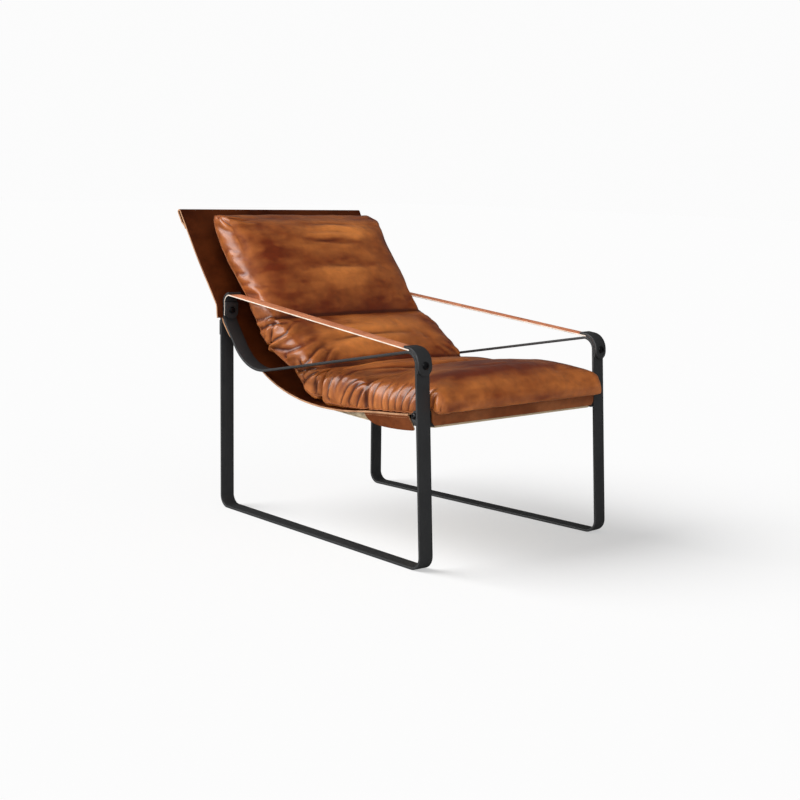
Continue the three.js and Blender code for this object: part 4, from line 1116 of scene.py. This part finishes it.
def heldWeights(grid, near):  # the seams, the lower edges and the face on the sling stay where they are
    lower = grid[:, 2] == 0
    edge = np.any((grid[:, :2] == 0) | (grid[:, :2] == grid[:, :2].max(0)), axis=1)
    atSeam = near < cushion["seamHeld"]
    return np.where(atSeam | (lower & edge), 1.0, np.where(lower, cushion["lowerHeld"], 0.0))


fill = {
    "quality": 5, "mass": 0.25, "tension_stiffness": 18, "compression_stiffness": 18, "shear_stiffness": 6,
    "bending_stiffness": 1.5, "use_pressure": True, "uniform_pressure_force": 3.0, "vertex_group_mass": "held",
}


def inflated(piece, weights):
    group = piece.vertex_groups.new(name="held")
    for level in sorted(set(weights)):
        group.add([int(i) for i in np.nonzero(weights == level)[0]], float(level), "REPLACE")
    cloth = piece.modifiers.new("fill", "CLOTH")
    for name, value in fill.items():
        setattr(cloth.settings, name, value)
    cloth.settings.effector_weights.gravity = 0
    cloth.collision_settings.use_collision = False
    for number in range(1, cushion["frames"] + 1):
        scene.frame_set(number)
    moved = np.array([v.co for v in evaluated(piece).data.vertices])
    piece.modifiers.clear()
    piece.vertex_groups.clear()
    scene.frame_set(1)
    return moved


def capped(moved, start, limit):
    shift = moved - start
    size = np.linalg.norm(shift, axis=1)
    return start + shift * np.minimum(1, limit / np.maximum(size, 1e-9))[:, None]


def mark(piece, name, values):
    layer = piece.data.attributes.get(name) or piece.data.attributes.new(name, "FLOAT", "POINT")
    layer.data.foreach_set("value", np.asarray(values, np.float32))


def readMark(piece, name):
    values = np.zeros(len(piece.data.vertices), np.float32)
    piece.data.attributes[name].data.foreach_get("value", values)
    return values.astype(float)


# folds of the hide: places along and round the pad, then width, height, and how much is left at each end;
# a height above 0 makes a ridge beside a crease, one below 0 a groove
folds = {
    "tuck": [([(383, -346), (398, -318), (415, -284), (416, -262), (393, -217)], 8, 10, 1, 0.1),
             ([(380, -350), (374, -318), (360, -285), (352, -250)], 9, -8, 0.9, 0.2),
             ([(390, -335), (430, -315), (448, -290), (452, -250)], 9, -4, 0.8, 0),
             ([(330, -330), (344, -300), (350, -268)], 8, 4, 0.8, 0)],
    "back": [([(463, -308), (470, -282), (470, -238), (460, -190)], 12, 6, 0.9, 0),
             ([(520, -300), (510, -262), (488, -222), (476, -180)], 9, 8, 0.9, 0),
             ([(512, -312), (484, -288)], 6, -6, 1, 0), ([(515, -215), (495, -190), (486, -160)], 7, 4, 0.7, 0)],
    "seams": [([(600, -350), (599, -310), (596, -280), (590, -255), (572, -220)], 15, -16, 1, 0.2),
              ([(788, -346), (786, -310), (787, -282), (796, -258), (806, -236)], 8, -10, 1, 0.1),
              ([(318, -342), (334, -318), (352, -290), (366, -268), (378, -240)], 8, -7, 1, 0.4),
              ([(522, -340), (522, -310), (526, -270)], 8, -8, 1, 0.2)],
    "lap": [([(562, -336), (560, -305), (560, -275), (551, -238)], 8, 8, 0.9, 0),
            ([(545, -318), (538, -296), (534, -268)], 7, 5, 0.8, 0),
            ([(583, -330), (580, -300), (584, -268)], 6, -6, 0.8, 0)],
    "seat": [([(614, -328), (616, -300), (622, -273), (632, -240)], 7, 8, 0.9, 0),
             ([(640, -318), (643, -295), (653, -262), (668, -230)], 7, 8, 0.7, 0),
             ([(668, -300), (682, -278), (700, -248)], 8, 4, 0.5, 0),
             ([(692, -338), (705, -314), (722, -294), (740, -278), (768, -252)], 8, 9, 0.9, 0),
             ([(726, -330), (740, -306), (762, -284), (784, -264)], 8, 6, 0.8, 0),
             ([(755, -338), (765, -314), (773, -298), (785, -280)], 7, 8, 0.9, 0)],
    "front": [([(820, -335), (822, -308), (828, -284), (836, -258)], 9, 7, 0.7, 0),
              ([(852, -338), (853, -308), (858, -282), (866, -252)], 7, 8, 0.8, 0),
              ([(876, -338), (877, -310), (882, -286)], 7, 7, 0.8, 0),
              ([(900, -338), (902, -308), (909, -280), (918, -258)], 7, 8, 0.8, 0),
              ([(922, -338), (926, -312), (938, -286), (948, -266)], 7, 7, 0.8, 0),
              ([(946, -336), (952, -310), (962, -288)], 7, 7, 0.8, 0),
              ([(976, -334), (980, -306), (990, -280)], 8, 6, 0.8, 0)],
    "corner": [([(1000, -336), (1004, -306), (1016, -284), (1022, -262)], 8, 4.5, 1, 0),
               ([(1050, -352), (1046, -326), (1046, -300)], 8, -7, 1, 0),
               ([(1030, -340), (1028, -312), (1030, -286)], 8, 3, 1, 0),
               ([(1064, -346), (1062, -320), (1066, -296)], 8, 3, 1, 0)],
    "head": [([(48, -326), (70, -302), (92, -258)], 13, 1.3, 0.7, 0),
             ([(118, -312), (132, -296), (136, -282)], 10, 2.2, 0.7, 0),
             ([(128, -326), (150, -306), (176, -262)], 13, 1.6, 0.7, 0),
             ([(188, -316), (206, -300), (206, -278)], 11, 2.4, 0.7, 0),
             ([(214, -326), (236, -296), (262, -270), (270, -240)], 12, 2, 0.7, 0),
             ([(258, -312), (272, -296), (274, -276)], 10, 1.8, 0.7, 0),
             ([(60, -262), (90, -250), (120, -254)], 16, -1.6, 0.4, 0.4),
             ([(10, -290), (26, -256), (36, -215), (36, -180)], 8, 6, 1, 0),
             ([(4, -262), (14, -226), (16, -185)], 7, -6, 1, 0), ([(20, -300), (44, -284), (56, -262)], 9, 3, 1, 0)],
}
foldShares = {"tuck": 0.8, "seat": 0.65, "front": 0.55, "lap": 0.8, "back": 0.75, "corner": 0.8}
# where the hide is rubbed pale or stays dark: along, around, half sizes, amount
patches = [
    (72, 62, 26, 95, 0.8), (58, 150, 24, 50, 0.3), (150, -50, 40, 60, 0.2), (150, 70, 30, 90, 0.12),
    (236, 20, 24, 115, 0.55), (266, 40, 20, 50, 0.25), (112, 30, 9, 80, -0.25), (195, 60, 14, 120, -0.12),
    (170, -192, 130, 32, -0.3), (50, -170, 34, 70, -0.12), (95, 100, 16, 60, 0.2), (450, -112, 30, 55, 0.3),
    (490, -200, 50, 36, -0.2), (338, 10, 34, 230, -0.2), (190, 235, 190, 42, -0.12), (430, 30, 30, 130, 0.5),
    (482, -70, 30, 120, 0.55), (440, 150, 50, 60, 0.15), (524, 60, 20, 180, -0.2), (400, -170, 40, 70, -0.15),
    (470, 225, 80, 40, -0.15), (640, -150, 40, 80, 0.3), (700, 60, 50, 140, 0.05), (800, -150, 34, 70, 0.2),
    (925, -210, 36, 50, 0.3), (985, -130, 24, 130, -0.45), (955, -215, 22, 40, -0.3), (985, 110, 18, 120, -0.25),
    (960, 20, 26, 120, -0.3), (905, -60, 24, 90, -0.2), (1046, 0, 30, 330, 0.2), (700, -320, 130, 40, 0.1),
    (900, -320, 100, 40, 0.1),
]
# broad soft folds across the pad, from one side to the other
creases = [
    ([(112, -60), (117, 0), (113, 60)], 11, -2.6, 0.1, 0.2), ([(98, -50), (97, 20), (101, 110)], 15, 2.4, 0.3, 0.3),
    ([(122, 10), (126, 60), (120, 120)], 10, -1.6, 0.1, 0.1),
    ([(204, -20), (210, 50), (206, 130)], 13, -1.8, 0.2, 0.2), ([(222, -90), (226, 20), (218, 140)], 18, 3, 0.3, 0.3),
    ([(60, -20), (56, 60), (64, 160)], 14, 3, 0.3, 0.3),
    ([(448, -225), (440, -150), (432, -60), (430, 60)], 18, 4, 0.5, 0.3),
    ([(486, -180), (478, -100), (472, 0), (474, 130)], 18, 4, 0.5, 0.3),
    ([(460, -150), (454, -40), (452, 100)], 12, -3, 0.3, 0.3),
    ([(520, -190), (514, -60), (516, 120)], 12, -4, 0.5, 0.4),
    ([(690, -245), (712, -185), (736, -100), (742, 0), (735, 110)], 11, -6, 0.6, 0.3),
    ([(668, -228), (690, -170), (712, -90), (716, 30), (708, 150)], 15, 5, 0.6, 0.3),
    ([(768, -225), (772, -100), (768, 60)], 16, 4, 0.4, 0.3),
    ([(640, -215), (652, -100), (648, 60)], 12, 4, 0.6, 0.4),
    ([(862, -200), (872, -60), (866, 120)], 24, 4, 0.4, 0.3),
    ([(940, -120), (948, 40), (940, 170)], 14, -2.5, 0.3, 0.3),
]


# a fold's own shape: where it fades in and out, and its crease or its rims as shares of its width and height
foldShape = {
    "fadeIn": 0.35, "fadeOut": 0.45, "fadePower": 1.3, "creaseOff": 1.25, "creaseWidth": 0.55, "creaseDepth": 0.75,
    "grooveWidth": 0.6, "rimOff": 1.5, "rimHeight": 0.35,
}
# the far side has the same folds, mirrored, moved along the pad, wider and weaker
farFolds = {"sway": 7, "turns": 0.31, "shift": 4, "wider": 1.2, "head": 0.2, "rest": 0.5}


def bell(distance, width):
    return np.exp(-((distance / width) ** 2))


def carve(place, path, width, height, start, end):  # height at each place, for one fold
    path = softened(respaced(np.array(path, float), 9), 2)
    reach = lengthsOf(path)
    inside = np.all((place > path.min(0) - 4 * width) & (place < path.max(0) + 4 * width), axis=1)
    spots = place[inside]
    nearest, where, hand = np.full(len(spots), 1e9), np.zeros(len(spots)), np.zeros(len(spots))
    for a, b, low, high in zip(path[:-1], path[1:], reach[:-1], reach[1:]):
        way = b - a
        t = np.clip((spots - a) @ way / (way @ way), 0, 1)
        off = spots - a - t[:, None] * way
        size = np.hypot(off[:, 0], off[:, 1])
        closer = size < nearest
        nearest = np.where(closer, size, nearest)
        where = np.where(closer, (low + (high - low) * t) / reach[-1], where)
        hand = np.where(closer, np.sign(way[0] * off[:, 1] - way[1] * off[:, 0]), hand)
    rise, fall = foldShape["fadeIn"], foldShape["fadeOut"]
    late = (np.maximum(where - fall, 0) / (1 - fall)) ** foldShape["fadePower"]
    fade = np.where(where < rise, start + (1 - start) * where / rise, 1)
    fade *= np.where(where > fall, 1 - (1 - end) * late, 1)
    if height > 0:  # ridge with a sharp crease on its far side
        crease = bell(nearest * hand - width * foldShape["creaseOff"], width * foldShape["creaseWidth"])
        shape = bell(nearest, width) - foldShape["creaseDepth"] * crease
    else:
        rims = bell(nearest - width * foldShape["rimOff"], width)
        shape = bell(nearest, width * foldShape["grooveWidth"]) - foldShape["rimHeight"] * rims
    result = np.zeros(len(place))
    result[inside] = height * shape * fade
    return result


def foldHeights(place):
    height = sum(carve(place, *crease) for crease in creases)
    for name, run in folds.items():
        for path, width, size, start, end in run:
            size *= foldShares.get(name, 1)
            height += carve(place, path, width, size, start, end)
            other = [(a + farFolds["sway"] * sin(a * farFolds["turns"]) + farFolds["shift"], -b) for a, b in path]
            size *= farFolds["head" if name == "head" else "rest"]
            height += carve(place, other, width * farFolds["wider"], size, start, end)
    return height


# uneven hide: the size of each noise along each axis, its seed and its height
unevenness = {
    "cover": ((40, 34, 36), 3.7, 0.0009), "broad": ((44, 44, 44), 1.3, 1.1), "fine": ((15, 24, 15), 8.1, 0.25),
    "drift": ((60, 60, 60), 5.3, 45), "cloudy": ((90, 45, 22), 2.1, 0.16), "mottled": ((30, 14, 9), 7.7, 0.1),
}


def uneven(kind, places):  # smooth noise read at each place
    (wide, long, high), seed, height = unevenness[kind]
    spots = (Vector((a / wide + seed, b / long, c / high)) for a, b, c in places)
    return np.array([noise.noise(spot) for spot in spots]) * height


def evened(piece, values, rounds, keep=0.3):  # averages each point's values with its neighbours'
    ends = np.zeros(len(piece.data.edges) * 2, np.int32)
    piece.data.edges.foreach_get("vertices", ends)
    ends = ends.reshape(-1, 2)
    both = np.concatenate([ends, ends[:, ::-1]])
    count = np.bincount(both[:, 0], minlength=len(values))
    for _ in range(rounds):
        near = [np.bincount(both[:, 0], column[both[:, 1]], len(values)) / count for column in values.T]
        values = values * keep + np.stack(near, axis=1) * (1 - keep)
    return values


def foldMask(piece):  # 0.5 on even hide, more on crests and less in hollows
    spots, normals = readSpots(piece), readSpots(piece, "normal")
    close = evened(piece, spots, 4)
    fine, broad = (((spots - rest) * normals).sum(1) for rest in (close, evened(piece, close, 12)))
    return np.clip(0.5 + fine * cushion["crestFine"] + broad * cushion["crestBroad"], 0, 1)


def rubbedShare(place, spots):
    drift = uneven("drift", spots)
    total = cushion["rubbed"] + uneven("cloudy", spots) + uneven("mottled", spots)
    for along, around, halfAlong, halfAround, amount in patches:
        off = ((place[:, 0] + drift * 0.5 - along) / halfAlong) ** 2
        total += amount * np.exp(-off - ((place[:, 1] + drift - around) / halfAround) ** 2)
    return total


def fillPad(piece, spots, weights):
    start = readSpots(piece)
    setSpots(piece, start + readSpots(piece, "normal") * uneven("cover", spots)[:, None])
    filled = capped(inflated(piece, weights), start, cushion["cap"] / 1000)
    filled = start + evened(piece, filled - start, cushion["evening"])
    setSpots(piece, evened(piece, filled, cushion["easing"], 0.4))


def foldPad(piece):  # gives back each point's place and its normal before it was folded
    place = np.stack([readMark(piece, "along"), readMark(piece, "around")], axis=1)
    spots, normals, near = readSpots(piece), readSpots(piece, "normal"), readMark(piece, "seam")
    heights = foldHeights(place) - cushion["groove"] * bell(near, cushion["grooveHalf"])
    heights += uneven("broad", spots * 1000) + uneven("fine", spots * 1000)
    spots += normals * (heights / 1000)[:, None]
    spots = keepClear((spots - np.array(origin)) * 1000) / 1000 + np.array(origin)
    setSpots(piece, spots)
    smooth(piece, 180)
    mark(piece, "fold", foldMask(piece))
    # the seam mark becomes the painted shade line along each seam
    mark(piece, "seam", bell(near, cushion["seamLine"]) * (np.abs(place[:, 1]) < cushion["seamReach"]))
    mark(piece, "worn", rubbedShare(place, spots * 1000))
    for name in ("along", "around"):
        piece.data.attributes.remove(piece.data.attributes[name])
    return spots, normals


def makePiping(spots, normals):  # a thin edging along both lower sides of the cover
    runs, size = [], cushion["piping"]
    for edge in (0, cushion["across"]):
        row = np.nonzero((grid[:, 1] == edge) & (grid[:, 2] == 1))[0]
        row = row[np.argsort(grid[row, 0])]
        runs.append(list(softened(spots[row] + normals[row] * cushion["pipingOut"], 1)))
    edging = grown(lineMesh("cushion_piping", runs), bandTree, Width=size, Thickness=size, Edge=size * 0.4,
                   Material=pipingHighlightHide)
    smooth(edging, 60)
    settle(edging, "cushion_leather")


grid, padFaces, spots, *padMarks = padShape(padRows())
spots = keepClear(spots)
pad = placed(newPiece("loose_cushion", spots, padFaces, [cushionHide]), toMetres)
print("cushion shaped:", len(spots), "points")

fillPad(pad, spots, heldWeights(grid, padMarks[-1]))
print("cushion filled")

for name, values in zip(("along", "around", "seam"), padMarks):
    mark(pad, name, values)
finer = pad.modifiers.new("finer", "SUBSURF")
finer.levels = finer.render_levels = 1
baked(pad)
makePiping(*foldPad(pad))
settle(pad, "cushion_leather", "cushion_head", "cushion_back", "cushion_lumbar", "cushion_seat", "cushion_front")
print("cushion folded")
